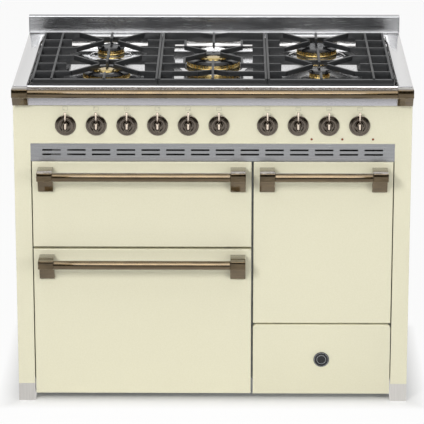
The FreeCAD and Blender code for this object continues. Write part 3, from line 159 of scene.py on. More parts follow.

# %% [markdown]
# ## Steels
# The hob is stainless steel with a fine polish that still mirrors what is behind it. Its nose, the
# backguard, the vent strip and the foot sleeves are the same steel with a satin brushing, whose
# lines blur the reflections. They run from side to side, and upright on the sleeves. The backguard
# and the vent strip are given a darker grey copy of this steel: painted shade, for the dark room
# that they mirror. The hidden sheets are galvanised, with dull grey zinc. Brush lines are a
# fraction of a millimetre wide, too fine to show at this size, so they are drawn about 1 mm wide
# and tens of millimetres long.

# %% Steels
polished_steel = finish(
    "polished_stainless_steel", ("C9C8C8", "D3D2D1"), (0.07, 0.13), 1.0, grain=1,
    stretch=(60, 1, 1), relief=0.008,
)
satin_steel = finish(
    "satin_stainless_steel", ("CECDD1", "D9D8DC"), (0.2, 0.28), 1.0, grain=1,
    stretch=(60, 1, 1), relief=0.03,
)
# Painted shade: a darker grey copy of the same stainless steel, for the backguard and the vent
# strip.
shaded_brushed_steel = finish(
    "brushed_stainless_steel_painted_shade", ("A2A3A5", "B5B6B8"), (0.22, 0.3), 1.0, grain=1,
    stretch=(60, 1, 1), relief=0.04,
)
sleeve_steel = finish(
    "brushed_stainless_sleeve", ("CCC9C4", "DAD7D2"), (0.3, 0.4), 1.0, grain=1,
    stretch=(1, 1, 60), relief=0.05,
)
galvanised = finish(
    "galvanised_sheet", ("8E9193", "A8ABAC"), (0.38, 0.52), 1.0, grain=14, relief=0.04
)
chromed_wire = finish(
    "chromed_wire", ("C6C8CA", "D6D8DA"), (0.08, 0.14), 1.0, grain=3, relief=0.02
)

# %% [markdown]
# ## Bronze, brass and aluminium
# The handles and rail are cast zinc with an antique bronze plating: dark brown, rubbed a little
# brighter in places, under a clear lacquer. The plating alone mirrors little, so that flat faces
# stay brown, and the lacquer, as the clear coat, is what turns the softbox into pale highlights.
# The knobs have the same plating with a greyer tone. The burner crowns are turned brass that heat
# has dulled. The burner bases are die-cast aluminium.

# %% Warm metals and aluminium
antique_bronze = finish(
    "antique_bronze_plating", ("55462E", "68573B"), (0.15, 0.22), 1.0, grain=6,
    stretch=(6, 1, 1), relief=0.03, coat_weight=0.9, coat_roughness=0.06,
)
pewter_bronze = finish(
    "pewter_bronze_plating", ("60564B", "73685B"), (0.16, 0.24), 1.0, grain=4,
    relief=0.03, coat_weight=1.0, coat_roughness=0.08,
)
turned_brass = finish(
    "turned_brass", ("BDA468", "D5C08A"), (0.2, 0.3), 1.0, grain=3, relief=0.03
)
cast_aluminium = finish(
    "die_cast_aluminium", ("9A9A99", "B2B2B0"), (0.4, 0.55), 1.0, grain=2, relief=0.15
)

# %% [markdown]
# ## Small parts
# Silicone for the door seals, moulded plastic for the switches, glazed ceramic for the igniters,
# a clear amber moulding for the lamps, and grey fired ink for the marks on the panel.

# %% Small parts' finishes
silicone = finish(
    "silicone_rubber", ("1C1C1C", "262626"), (0.55, 0.7), grain=2, relief=0.1, ior=1.41
)
moulded_plastic = finish(
    "moulded_plastic", ("17171A", "202023"), (0.4, 0.5), grain=1, relief=0.1, ior=1.46
)
glazed_ceramic = finish(
    "glazed_ceramic", ("E6E2DA", "F0EDE6"), (0.15, 0.22), grain=2, relief=0.03, ior=1.5
)
lamp_lens = finish(
    "amber_lens", ("7A3A16", "8C4A20"), (0.08, 0.14), grain=2, relief=0.02, ior=1.49
)
gloss_black = finish(
    "gloss_black_moulding", ("08080A", "0F0F12"), (0.1, 0.16), grain=3, relief=0.02, ior=1.49
)
fired_ink = finish(
    "fired_ink", ("B3B09B", "BEBBA5"), (0.45, 0.55), grain=1, relief=0.02, ior=1.5
)

# %% [markdown]
# ## Finishes for the CAD pieces
# The CAD pieces whose shape is already right keep it. Each only takes the material that its real
# counterpart is made of, but the backguard and the vent strip take a darker copy of their steel,
# which is painted shade.

# %% Finishes for the CAD pieces
DOORS = ("main", "grill", "side")
GRID_SIDES = ("left", "centre", "right")
CAD_FINISHES = {
    cream_enamel: ["corner_posts", "outer_panels", "control_panel", "drawer_front"]
    + [f"{door}_door_panel" for door in DOORS],
    black_enamel: ["main_oven_cavity", "grill_cavity", "side_oven_cavity", "fan_cover",
                   "burner_caps"] + [f"{door}_door_liner" for door in DOORS],
    polished_steel: ["hob_top"],
    shaded_brushed_steel: ["vent_strip", "backguard"],
    # The backguard and the vent strip take the darker steel copy, which is painted shade.
    sleeve_steel: ["foot_sleeves"],
    galvanised: ["levelling_feet", "base_tray", "front_frame", "door_hinges", "drawer_runners",
                 "drawer_box", "fan_motor", "oven_fan", "heating_elements"],
    chromed_wire: ["oven_shelves"],
    antique_bronze: ["front_rail"]
    + [f"{door}_door_handle" for door in DOORS],
    pewter_bronze: ["knob_bezels"] + [f"knob_{number:02d}" for number in range(1, 11)],
    turned_brass: ["burner_crowns"] + [f"tap_spindle_{number}" for number in range(1, 6)],
    cast_aluminium: ["burner_bases", "gas_manifold"],
    grate_enamel: [f"pan_support_{side}" for side in GRID_SIDES],
    silicone: ["door_seals"],
    moulded_plastic: ["oven_switches"],
    glazed_ceramic: ["spark_igniters"],
    lamp_lens: ["indicator_lamps"],
    gloss_black: ["drawer_badge"],
}
for material, names in CAD_FINISHES.items():
    for name in names:
        mesh = nodes[name].data
        mesh.materials.clear()
        mesh.materials.append(material)
unfinished = sorted(set(nodes) - {name for names in CAD_FINISHES.values() for name in names})
print("CAD pieces with no finish:", unfinished)

# %% [markdown]
# ## Helpers for modelling
# A turned form starts as a disc, and is extruded and scaled from one station to the next along
# its axis, as on a lathe. A casting starts from a copy of its CAD solid: its loose triangles are
# merged, and its sharp edges get the small radius that a mould leaves.

# %% Modelling helpers
AXES = {"x": Vector((1, 0, 0)), "y": Vector((0, 1, 0)), "z": Vector((0, 0, 1))}
TURN = {"x": (0, math.pi / 2, 0), "y": (math.pi / 2, 0, 0), "z": (0, 0, 0)}


def only(piece):
    """Makes the piece the only one selected."""
    bpy.ops.object.select_all(action="DESELECT")
    piece.select_set(True)
    bpy.context.view_layer.objects.active = piece


def applied(piece, name):
    """Names the piece and moves its place, turn and scale into its mesh."""
    only(piece)
    bpy.ops.object.transform_apply(location=True, rotation=True, scale=True)
    piece.name = name
    piece.data.name = name
    return piece


def smooth(piece, degrees=32):
    """Shades the piece smooth, but for edges sharper than the angle."""
    only(piece)
    bpy.ops.object.shade_smooth_by_angle(angle=math.radians(degrees))
    return piece


def turned(name, axis, foot, stations, sides=48, through=False):
    """A turned form: each station is (distance from the foot along the axis, radius), in mm."""
    along = AXES[axis]
    level, radius = stations[0]
    centre = foot + along * level * MM
    bpy.ops.mesh.primitive_circle_add(
        vertices=sides, radius=radius * MM, fill_type="NGON", location=centre, rotation=TURN[axis]
    )
    piece = applied(bpy.context.active_object, name)
    bpy.ops.object.mode_set(mode="EDIT")
    bpy.ops.mesh.select_all(action="SELECT")
    for next_level, next_radius in stations[1:]:
        step = along * (next_level - level) * MM
        bpy.ops.mesh.extrude_region_move(TRANSFORM_OT_translate={"value": step})
        ratio = next_radius / radius
        centre = foot + along * next_level * MM
        value = [ratio + (1 - ratio) * part for part in along]
        bpy.ops.transform.resize(value=value, center_override=centre)
        level, radius = next_level, next_radius
    if through:
        bpy.ops.mesh.select_mode(type="FACE")
        bpy.ops.mesh.select_all(action="DESELECT")
        bpy.ops.mesh.select_face_by_sides(number=sides)
        bpy.ops.mesh.bridge_edge_loops()
    bpy.ops.mesh.select_all(action="SELECT")
    bpy.ops.mesh.normals_make_consistent(inside=False)
    bpy.ops.object.mode_set(mode="OBJECT")
    return smooth(piece)


def cuboid(name, low, high):
    """A block between two corners, ready to be shaped."""
    bpy.ops.mesh.primitive_cube_add(size=1, location=(low + high) / 2)
    bpy.context.active_object.scale = high - low
    return applied(bpy.context.active_object, name)


def pick(piece, kind, chosen):
    """Selects the faces or edges of the piece in edit mode that the test picks."""
    bpy.ops.mesh.select_all(action="DESELECT")
    mesh = bmesh.from_edit_mesh(piece.data)
    for item in getattr(mesh, kind):
        if chosen(item):
            item.select_set(True)
    mesh.select_flush_mode()
    bmesh.update_edit_mesh(piece.data)


def modify(piece, kind, **settings):
    """Adds a modifier with its settings and applies it."""
    only(piece)
    modifier = piece.modifiers.new(kind.lower(), kind)
    for name, value in settings.items():
        setattr(modifier, name, value)
    bpy.ops.object.modifier_apply(modifier=modifier.name)
    return piece


def casting(name, node, radius, segments=2):
    """A copy of a CAD solid, merged, with its sharp edges rounded."""
    only(nodes[node])
    bpy.ops.object.duplicate()
    piece = bpy.context.active_object
    piece.parent = None
    for key in list(piece.keys()):
        del piece[key]
    piece.name = name
    bpy.ops.object.mode_set(mode="EDIT")
    bpy.ops.mesh.select_all(action="SELECT")
    bpy.ops.mesh.remove_doubles(threshold=0.01 * MM)
    bpy.ops.mesh.dissolve_limited(angle_limit=math.radians(1))
    bpy.ops.object.mode_set(mode="OBJECT")
    modify(
        piece, "BEVEL", width=radius * MM, segments=segments, limit_method="ANGLE",
        angle_limit=math.radians(30),
    )
    return smooth(piece, 40)


def copied(piece, name, shift):
    """A copy of the piece with its own mesh, moved."""
    only(piece)
    bpy.ops.object.duplicate()
    twin = bpy.context.active_object
    twin.location = shift
    return applied(twin, name)


def joined(name, pieces):
    """One piece made of several."""
    bpy.ops.object.select_all(action="DESELECT")
    for piece in pieces:
        piece.select_set(True)
    bpy.context.view_layer.objects.active = pieces[0]
    bpy.ops.object.join()
    pieces[0].name = name
    pieces[0].data.name = name
    return pieces[0]


def fit(piece, body, material, slot, *replaced):
    """Gives the piece its material and the body that it moves with."""
    piece.data.materials.clear()
    piece.data.materials.append(material)
    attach(piece, body)
    if replaced:
        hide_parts(*replaced)
    print(piece.name, "triangles:", sum(len(face.vertices) - 2 for face in piece.data.polygons))
    return piece


# %% [markdown]
# ## The hob sheet
# The real hob is one stainless sheet, pressed to a nose in front, two side strips and a sunken
# well that catches spills. It could be built of separate plates, but then the corners would be
# sharp. Here the rim of a block is rounded, the block is cut along the well's edges, its middle
# pushed down, the underside opened, and the well's bends are rounded before the sheet gets its
# thickness.

# %% The hob sheet
WELL_SIDE = 460.5
WELL_BACK = 545
SLACK = 0.1 * MM


def on_rim(edge):
    """Whether an edge of the block lies in its top."""
    return all(vertex.co.z > WORKTOP * MM - SLACK for vertex in edge.verts)


def over_well(face):
    """Whether a face of the top is the one between the cuts."""
    middle = face.calc_center_median()
    inside = abs(middle.x) < WELL_SIDE * MM and 0 < middle.y - FRONT < WELL_BACK * MM
    return inside and face.normal.z > 0.9


def in_well(edge, upright):
    """Whether an edge is one of the well's: its upright corners, or its rims."""
    ends = [vertex.co for vertex in edge.verts]
    inside = all(
        abs(end.x) < WELL_SIDE * MM + SLACK and -SLACK < end.y - FRONT < WELL_BACK * MM + SLACK
        for end in ends
    )
    return inside and (abs(ends[0].z - ends[1].z) > 10 * MM) == upright


hob = cuboid("hob_sheet", place(-500, -10, 790), place(500, 600, WORKTOP))
bpy.ops.object.mode_set(mode="EDIT")
pick(hob, "edges", on_rim)
bpy.ops.mesh.bevel(offset=2.5 * MM, segments=3, affect="EDGES")
for point, normal in (
    ((-WELL_SIDE, 0, 0), AXES["x"]),
    ((WELL_SIDE, 0, 0), AXES["x"]),
    ((0, 0, 0), AXES["y"]),
    ((0, WELL_BACK, 0), AXES["y"]),
):
    bpy.ops.mesh.select_all(action="SELECT")
    bpy.ops.mesh.bisect(plane_co=place(*point), plane_no=normal)
pick(hob, "faces", over_well)
sink = (0, 0, (WELL_FLOOR - WORKTOP) * MM)
bpy.ops.mesh.extrude_region_move(TRANSFORM_OT_translate={"value": sink})
pick(hob, "faces", lambda face: face.normal.z < -0.9)
bpy.ops.mesh.delete(type="FACE")
pick(hob, "edges", lambda edge: in_well(edge, True))
bpy.ops.mesh.bevel(offset=7 * MM, segments=5, affect="EDGES")
pick(hob, "edges", lambda edge: in_well(edge, False) and len(edge.link_faces) == 2
     and edge.calc_face_angle(0) > 1)
bpy.ops.mesh.bevel(offset=3.5 * MM, segments=3, affect="EDGES")
bpy.ops.object.mode_set(mode="OBJECT")
modify(hob, "SOLIDIFY", thickness=1.5 * MM, offset=-1)
smooth(hob)

# %% [markdown]
# ## Pressed rings under the burners
# The sheet rises in a low round step under each burner, so that spills run away from it. Each
# step is turned from a few stations and joined to the sheet.

# %% Pressed rings
# Each burner's place on the hob and the width of its cap.
BURNERS = {
    "dual_front": (-272, 165, 124),
    "tall_rear": (-272, 426, 73),
    "wok": (0, 296, 142),
    "rapid_rear": (272, 426, 109),
    "simmer_front": (272, 165, 56),
}
steps = []
for name, (x, y, cap) in BURNERS.items():
    edge = cap / 2 + 14
    stations = [(-1, edge + 6), (0, edge + 6), (1.2, edge + 3), (2.2, edge - 1), (2.4, edge - 5)]
    steps.append(turned(f"pressed_ring_{name}", "z", place(x, y, WELL_FLOOR), stations, 64))
hob = joined("hob_sheet", [hob, *steps])
fit(hob, "cooker", polished_steel, "polished_steel", "hob_top")
hob.data.materials.append(satin_steel)
for face in hob.data.polygons:
    if face.normal.y < -0.7 and face.center.y < FRONT - 5 * MM:
        face.material_index = 1

# %% [markdown]
# ## Burners
# A burner is a cast base, a brass crown whose rim is slotted with flame ports, and an enamelled
# cap with a sloping edge. The two large ones have a second small burner in the middle. The ports
# are every second face of the crown's wall, inset and pushed in.

# %% Burner forms
CROWN_FOOT = WELL_FLOOR + 4
CROWN_HEIGHT = 14
INNER_HEIGHT = 15.5
SKIRT = 5.5


def crown(name, foot, outside, height, bore=None):
    """A crown with a skirt, and ports round its rim; a ring crown has a bore."""
    radius = outside / 2
    stations = [(0, radius), (1, radius + 1), (SKIRT - 1, radius + 1), (SKIRT, radius),
                (height - 1, radius), (height, radius - 1)]
    if bore:
        stations += [(height, bore / 2), (0, bore / 2)]
    sides = 64 if outside > 60 else 40
    piece = turned(name, "z", foot, stations, sides, through=bool(bore))
    only(piece)
    bpy.ops.object.mode_set(mode="EDIT")
    turn = 2 * math.pi / sides

    def port(face):
        """Whether a face of the crown's outer wall is a port: every second one over the skirt."""
        middle = face.calc_center_median() - foot
        flat = math.hypot(middle.x, middle.y)
        step = math.floor(math.atan2(middle.y, middle.x) / turn)
        outer = abs(face.normal.z) < 0.1 and flat > (radius - 1) * MM
        return outer and middle.z > SKIRT * MM and step % 2 == 0

    pick(piece, "faces", port)
    bpy.ops.mesh.inset(thickness=0.5 * MM, depth=-2.5 * MM, use_individual=True)
    bpy.ops.object.mode_set(mode="OBJECT")
    return smooth(piece)


def cap(name, foot, outside, bore=None):
    """A cap whose top slopes to a rounded edge; a ring cap has a bore."""
    radius = outside / 2
    stations = [(0, radius - 1), (0.8, radius), (3, radius), (4.6, radius - 1.6), (6.2, radius - 5)]
    if bore:
        stations += [(7, radius - 9), (7, bore / 2 + 3), (6, bore / 2 + 0.6), (5, bore / 2),
                     (0, bore / 2)]
    else:
        stations += [(7, radius * 0.55), (7, radius * 0.2)]
    return turned(name, "z", foot, stations, 64, through=bool(bore))


# %% Burners in their places
DUAL_BURNERS = ("dual_front", "wok")
bases, crowns, caps, brass_caps = [], [], [], []
for name, (x, y, size) in BURNERS.items():
    dual = name in DUAL_BURNERS
    stations = [(0, size / 2 - 3), (3, size / 2 - 3.4), (4, size / 2 - 4.5)]
    bases.append(turned(f"burner_base_{name}", "z", place(x, y, WELL_FLOOR), stations, 64))
    foot = place(x, y, CROWN_FOOT)
    crowns.append(crown(f"crown_{name}", foot, size - 4, CROWN_HEIGHT, 76 if dual else None))
    top = place(x, y, CROWN_FOOT + CROWN_HEIGHT)
    caps.append(cap(f"cap_{name}", top, size, 72 if dual else None))
    if dual:
        crowns.append(crown(f"inner_crown_{name}", foot, 45, INNER_HEIGHT))
        top = place(x, y, CROWN_FOOT + INNER_HEIGHT)
        brass_caps.append(cap(f"inner_cap_{name}", top, 49))
fit(joined("burner_cups", bases), "cooker", cast_aluminium, "aluminium", "burner_bases")
fit(joined("flame_crowns", crowns), "cooker", turned_brass, "brass", "burner_crowns")
fit(joined("enamel_caps", caps), "cooker", black_enamel, "black_enamel", "burner_caps")
fit(joined("brass_caps", brass_caps), "cooker", turned_brass, "brass", "burner_caps")

# %% [markdown]
# ## Igniters
# Each burner is lit by a spark from a steel pin in a ceramic sleeve beside its crown.

# %% Igniters
SLEEVE_STATIONS = [(0, 3), (9, 3), (11, 2.2), (13, 2.2), (14, 1.4)]
PIN_STATIONS = [(13, 0.8), (17, 0.8), (18, 0.5)]
sleeves, pins = [], []
for name, (x, y, size) in BURNERS.items():
    spot = place(x, y + size / 2 + 9, WELL_FLOOR)
    sleeves.append(turned(f"sleeve_{name}", "z", spot, SLEEVE_STATIONS, 20))
    pins.append(turned(f"pin_{name}", "z", spot, PIN_STATIONS, 12))
fit(joined("igniter_sleeves", sleeves), "cooker", glazed_ceramic, "ceramic", "spark_igniters")
fit(joined("igniter_pins", pins), "cooker", chromed_wire, "chrome_wire", "spark_igniters")

# %% [markdown]
# ## Pan supports
# Three iron grids, cast in sand and enamelled. Sand leaves no sharp edge, so each is a copy of
# its CAD solid with a radius on every edge, which is what catches the light on top of the bars.

# %% Pan supports
for side in GRID_SIDES:
    grid = casting(f"iron_grid_{side}", f"pan_support_{side}", 1.3, 3)
    fit(grid, f"pan_support_{side}", grate_enamel, "cast_iron", f"pan_support_{side}")

# %% [markdown]
# ## Door handles and front rail
# Brackets and bars are cast, plated and rubbed. Copies of the CAD solids with rounded edges keep
# the brackets' profile, and the bars stay round.

# %% Door handles and front rail
for door in DOORS:
    handle = casting(f"{door}_handle", f"{door}_door_handle", 1.2)
    fit(handle, f"{door}_door", antique_bronze, "cast_bronze", f"{door}_door_handle")
rail = casting("towel_rail", "front_rail", 1.2)
fit(rail, "cooker", antique_bronze, "cast_bronze", "front_rail")

# %% [markdown]
# ## Bezels and knobs
# Behind each knob is a turned disc: a rim, a groove and a raised, slightly dished plate. The knob
# is a short barrel with an upright oval grip across it, which leans back so that its face catches
# the softbox, and a thin fin on top that points to its setting. Both are modelled once and copied.

# %% Bezels
first = place(KNOB_PLACES[0], 0, KNOB_LEVEL)
shifts = [((x - KNOB_PLACES[0]) * MM, 0, 0) for x in KNOB_PLACES[1:]]
BEZEL_STATIONS = [
    (0, 26), (-0.6, 26.5), (-2.2, 26.5), (-3.1, 26), (-3.4, 25.2), (-4, 21.6), (-3, 20.8),
    (-3, 20.4), (-6.8, 20.4), (-7.7, 19.9), (-8, 19), (-7.5, 14.6), (-6.6, 13.6), (-6, 12.8),
    (-6, 7),
]
bezel = turned("bezel", "y", first, BEZEL_STATIONS, 64)
bezels = [copied(bezel, f"bezel_{number}", shift) for number, shift in enumerate(shifts, 2)]
fit(joined("bezel_discs", [bezel, *bezels]), "cooker", pewter_bronze, "cast_bronze", "knob_bezels")

# %% Knobs
GRIP_LEAN = 22
GRIP_OUT = 20.5
GRIP_THICKNESS = 0.6
BARREL_STATIONS = [
    (-11.6, 9.6), (-12.4, 10.5), (-16.6, 10.5), (-18.4, 10), (-19.6, 8.6), (-20, 6.5), (-20, 3)
]
GRIP_STATIONS = [
    (-11, 2.4), (-10.5, 4.4), (-9.2, 6), (-7, 6.8), (-4, 7), (4, 7), (7, 6.8), (9.2, 6),
    (10.5, 4.4), (11, 2.4),
]
barrel = turned("barrel", "y", first, BARREL_STATIONS)
grip_middle = first + Vector((0, -GRIP_OUT, 0)) * MM
grip = turned("grip", "z", grip_middle, GRIP_STATIONS, 32)
bpy.ops.object.mode_set(mode="EDIT")
bpy.ops.mesh.select_all(action="SELECT")
bpy.ops.transform.resize(value=(1, GRIP_THICKNESS, 1), center_override=grip_middle)
bpy.ops.object.mode_set(mode="OBJECT")
bpy.ops.transform.rotate(
    value=math.radians(GRIP_LEAN), orient_axis="X", center_override=grip_middle
)
applied(grip, "grip")
fin = cuboid("fin", first + Vector((-2.5, -26, 11)) * MM, first + Vector((2.5, -12.6, 36.8)) * MM)


def front_tip(edge):
    """Whether an edge is the fin's outer one at the top."""
    ends = [vertex.co for vertex in edge.verts]
    return all(end.z > (KNOB_LEVEL + 20) * MM and end.y < FRONT - 20 * MM for end in ends)


bpy.ops.object.mode_set(mode="EDIT")
pick(fin, "edges", front_tip)
bpy.ops.transform.translate(value=(0, 10.5 * MM, 0))
bpy.ops.object.mode_set(mode="OBJECT")
modify(fin, "BEVEL", width=0.8 * MM, segments=2, limit_method="ANGLE")
smooth(fin)
stem = cuboid("stem", first + Vector((-2.5, -13, -2.5)) * MM, first + Vector((2.5, 1.2, 2.5)) * MM)
knob = joined("knob_shape", [barrel, grip, fin, stem])
knobs = [knob] + [
    copied(knob, f"knob_shape_{number:02d}", shift) for number, shift in enumerate(shifts, 2)
]
knob.name = "knob_shape_01"
for number, piece in enumerate(knobs, 1):
    fit(piece, f"knob_{number:02d}", pewter_bronze, "cast_bronze", f"knob_{number:02d}")

# %% [markdown]
# ## Marks on the panel
# Above each knob the enamel carries a small fired symbol: a frame with a dot for the burner it
# turns on, or a bar for an oven's heat. They are a tenth of a millimetre proud, in pale ink. A
# small bead runs along the panel's lower edge, where the sheet is folded.

# %% Panel marks and bead
def mark(x, z, width, height):
    """A thin flat bar of ink in the panel's face, about its middle, in mm."""
    low = place(x - width / 2, -0.1, z - height / 2)
    return cuboid("mark", low, place(x + width / 2, 0.2, z + height / 2))


MARK_LEVEL = 779
LINE = 0.8
DOTS = [(-3.4, -2.2), (-3.4, 2.2), (0, 0), (3.4, 2.2), (3.4, -2.2)]
marks = []
for number, x in enumerate(KNOB_PLACES):
    for side in (-1, 1):
        marks.append(mark(x + side * 6, MARK_LEVEL, LINE, 9.6))
        marks.append(mark(x, MARK_LEVEL + side * 4.4, 12.8, LINE))
    if number < GAS_KNOBS:
        across, up = DOTS[number]
        marks.append(mark(x + across, MARK_LEVEL + up, 2.4, 2.4))
    else:
        marks.append(mark(x, MARK_LEVEL + (2.4 if number % 2 else -2.4), 8.6, 1))
fit(joined("panel_marks", marks), "cooker", fired_ink, "cream_enamel")
bead = cuboid("panel_bead", place(-458, -1.8, 688.6), place(458, 0.4, 692.8))
modify(bead, "BEVEL", width=1.6 * MM, segments=4, limit_method="ANGLE")
fit(smooth(bead), "cooker", cream_enamel, "cream_enamel")

# %% [markdown]
# ## Drawer front and badge
# The drawer's enamelled front has softly rolled edges, and in its middle sits a black disc with
# two polished rings and nothing written on it.

# %% Drawer front and badge
front = casting("drawer_face", "drawer_front", 0.7)
fit(front, "drawer", cream_enamel, "cream_enamel", "drawer_front")
BADGE_STATIONS = [(0, 19.4), (-1.6, 20), (-2.4, 19.6), (-2.8, 18.5), (-2.4, 17.4), (-2.4, 2)]
middle = place(279.5, 0, 114)
boss = turned("badge_disc", "y", middle, BADGE_STATIONS, 64)
fit(boss, "drawer", gloss_black, "badge_black", "drawer_badge")
rings = [
    turned(f"badge_ring_{number}", "y", middle,
           [(-1.8, r), (-2.9, r - 0.3), (-2.9, r - 0.9), (-1.8, r - 1.2)], 64, through=True)
    for number, r in enumerate((18.6, 12.0), 1)
]
fit(joined("badge_rings", rings), "drawer", chromed_wire, "chrome_wire", "drawer_badge")

# %% [markdown]
# ## Studio
# A white studio with dark surroundings, as such metal is photographed. Metal shows the lamps and
# enamel shows their light, so each group is set for itself. Two wide softboxes, in front and
# overhead, are seen only in reflections, and give the bars their broad bright band. A small key
# lamp at the left casts the soft shadows, and a wide one at the right and one overhead open them.
# The paper floor and the far wall are white to the camera and nearly white in reflections, in soft
# clouds, so that flat steel isn't one even grey. The paper in front ends at five metres: the dark
# room shows between it and the softbox, which draws the dark line along each bar. Under the cooker
# the paper shows only its real light, so that the shadow there stays dark.

# %% Reflected clouds and the cooker's footprint
def clouds(tree, where, weakest, strongest):
    """A soft noise about a metre across, between two strengths."""
    noise = add_node(tree, "ShaderNodeTexNoise", {"Vector": where, "Scale": 1.1, "Detail": 1.0})
    shares = {"From Min": 0.35, "From Max": 0.65, "To Min": weakest, "To Max": strongest}
    return add_node(
        tree, "ShaderNodeMapRange", {"Value": noise.outputs["Fac"], **shares}
    ).outputs["Result"]


def beyond(tree, side, near, far):
    """0 up to one distance from the middle on an axis, and 1 from the other distance on."""
    distance = add_node(tree, "ShaderNodeMath", {0: side}, operation="ABSOLUTE")
    return add_node(
        tree, "ShaderNodeMapRange",
        {"Value": distance.outputs[0], "From Min": near, "From Max": far},
    ).outputs["Result"]


# %% Paper for the floor and the wall
CAMERA_SHARE = 0.94
FADE = 0.4
SHADE_ACROSS = (0.47, 0.56)
SHADE_ALONG = (0.24, 0.33)


def times(tree, first_share, second_share):
    """The product of two shares."""
    sockets = {0: first_share, 1: second_share}
    return add_node(tree, "ShaderNodeMath", sockets, operation="MULTIPLY").outputs[0]


def paper(name, weakest, strongest, reach=None):
    """White paper: brightened for the camera, cloudy in reflections up to its reach in front."""
    material = bpy.data.materials.new(name)
    material.use_nodes = True
    tree = material.node_tree
    tree.nodes.clear()
    rays = add_node(tree, "ShaderNodeLightPath")
    where = add_node(tree, "ShaderNodeTexCoord").outputs["Object"]
    sides = add_node(tree, "ShaderNodeSeparateXYZ", {"Vector": where})
    mirrored = clouds(tree, where, weakest, strongest)
    share = times(tree, rays.outputs["Is Camera Ray"], CAMERA_SHARE)
    if reach:
        ends = add_node(
            tree, "ShaderNodeMapRange",
            {"Value": sides.outputs["Y"], "From Min": -reach - FADE, "From Max": -reach},
        )
        mirrored = times(tree, mirrored, ends.outputs["Result"])
        outside = add_node(
            tree, "ShaderNodeMath",
            {0: beyond(tree, sides.outputs["X"], *SHADE_ACROSS),
             1: beyond(tree, sides.outputs["Y"], *SHADE_ALONG)},
            operation="MAXIMUM",
        )
        share = times(tree, share, outside.outputs[0])
    sheet = add_node(tree, "ShaderNodeBsdfDiffuse", {"Color": linear("F4F4F2")})
    white = add_node(tree, "ShaderNodeEmission", {"Color": (1, 1, 1, 1), "Strength": 1.0})
    lit = add_node(
        tree, "ShaderNodeMixShader", {0: share, 1: sheet.outputs[0], 2: white.outputs[0]}
    )
    seen = add_node(tree, "ShaderNodeEmission", {"Color": (1, 1, 1, 1), "Strength": mirrored})
    whole = add_node(
        tree, "ShaderNodeMixShader",
        {0: rays.outputs["Is Glossy Ray"], 1: lit.outputs[0], 2: seen.outputs[0]},
    )
    add_node(tree, "ShaderNodeOutputMaterial", {"Surface": whole.outputs[0]})
    return material


# %% Floor and far wall
bpy.ops.mesh.primitive_plane_add(size=60, location=(0, 0, 0))
floor = bpy.context.active_object
floor.name = "studio_floor"
floor.data.materials.append(paper("studio_paper", 0.75, 1.1, reach=5))
bpy.ops.mesh.primitive_plane_add(size=24, location=(0, 14, 12), rotation=(math.pi / 2, 0, 0))
wall = bpy.context.active_object
wall.name = "studio_wall"
wall.data.materials.append(paper("wall_paper", 0.96, 1.04))

# %% [markdown]
# The sky lights the object evenly but weakly. In reflections it is the room: dark in front and
# overhead, where the softboxes hang, and pale round the sides and back, so that the steel doesn't
# turn black when the cooker is seen from there.

# %% Sky
world = bpy.data.worlds.new("studio_sky")
world.use_nodes = True
bpy.context.scene.world = world
tree = world.node_tree
tree.nodes.clear()
rays = add_node(tree, "ShaderNodeLightPath")
towards = add_node(tree, "ShaderNodeTexCoord").outputs["Generated"]
heading = add_node(tree, "ShaderNodeSeparateXYZ", {"Vector": towards})
behind = add_node(
    tree, "ShaderNodeMapRange",
    {"Value": heading.outputs["Y"], "From Min": -0.55, "From Max": -0.25},
)
low = add_node(
    tree, "ShaderNodeMapRange",
    {"Value": heading.outputs["Z"], "From Min": 0.75, "From Max": 0.5},
)
pale = times(tree, behind.outputs["Result"], low.outputs["Result"])
room = add_node(tree, "ShaderNodeMapRange", {"Value": pale, "To Min": 0.05, "To Max": 0.85})
unseen = add_node(
    tree, "ShaderNodeMapRange",
    {"Value": rays.outputs["Is Glossy Ray"], "To Min": 0.15, "To Max": room.outputs["Result"]},
)
level = add_node(
    tree, "ShaderNodeMapRange",
    {"Value": rays.outputs["Is Camera Ray"], "To Min": unseen.outputs["Result"], "To Max": 1.0},
)
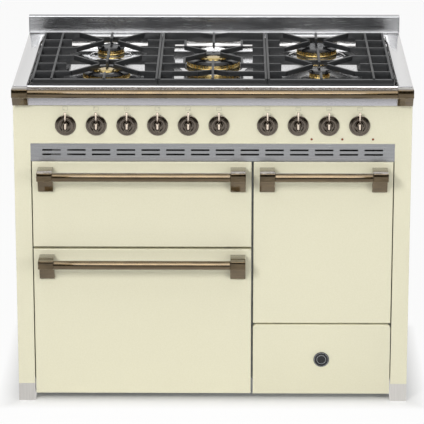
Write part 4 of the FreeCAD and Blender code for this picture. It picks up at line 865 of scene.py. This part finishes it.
sky = add_node(
    tree, "ShaderNodeBackground",
    {"Color": (1, 1, 1, 1), "Strength": level.outputs["Result"]},
)
add_node(tree, "ShaderNodeOutputWorld", {"Surface": sky.outputs[0]})

# %% [markdown]
# Each lamp below is its place in metres, its width, its height and its power in watts. All of them
# point at the middle of the cooker.

# %% Lamps
AIM = Vector((0, 0, 0.5))
LAMPS = {
    "key": ((-2.2, -4.6, 3), 1, 1, 130),
    "right": ((3.8, -4.2, 1.8), 2.4, 2.4, 72),
    "front": ((0, -4.4, 3.5), 4.6, 2.8, 190),
    "overhead": ((0, -1.3, 3.6), 4.6, 3.6, 54),
    "ceiling": ((0, -1.3, 3.7), 4.6, 3.6, 130),
}
SHADOWS_ONLY = ["key", "right", "overhead"]
HIGHLIGHTS_ONLY = ["front", "ceiling"]
for name, (spot, width, height, watts) in LAMPS.items():
    bpy.ops.object.light_add(type="AREA", location=spot)
    lamp = bpy.context.active_object
    lamp.name = f"{name}_light"
    lamp.data.shape = "RECTANGLE"
    lamp.data.size = width
    lamp.data.size_y = height
    lamp.data.energy = watts
    lamp.visible_camera = False
    lamp.rotation_euler = (AIM - Vector(spot)).to_track_quat("-Z", "Y").to_euler()
    lamp.visible_glossy = name not in SHADOWS_ONLY
    lamp.visible_diffuse = name not in HIGHLIGHTS_ONLY
print("lamps:", ", ".join(LAMPS))

# %% [markdown]
# The camera stands six and a half metres in front of the cooker and looks down on it through a
# long lens, so that its upright edges stay nearly parallel.

# %% Camera
LOOKS_DOWN = 16.8
LOOKS_LEFT = 0.42
SENSOR = 36
FOCAL_PIXELS = 2675
PICTURE_PIXELS = 424
bpy.ops.object.camera_add(
    location=(0.046, FRONT - 6.481, 2.466),
    rotation=(math.radians(90 - LOOKS_DOWN), 0, math.radians(LOOKS_LEFT)),
)
camera = bpy.context.active_object
camera.data.sensor_width = SENSOR
camera.data.lens = SENSOR * FOCAL_PIXELS / PICTURE_PIXELS
camera.data.clip_end = 100
bpy.context.scene.camera = camera
bpy.context.scene.view_settings.view_transform = "Standard"
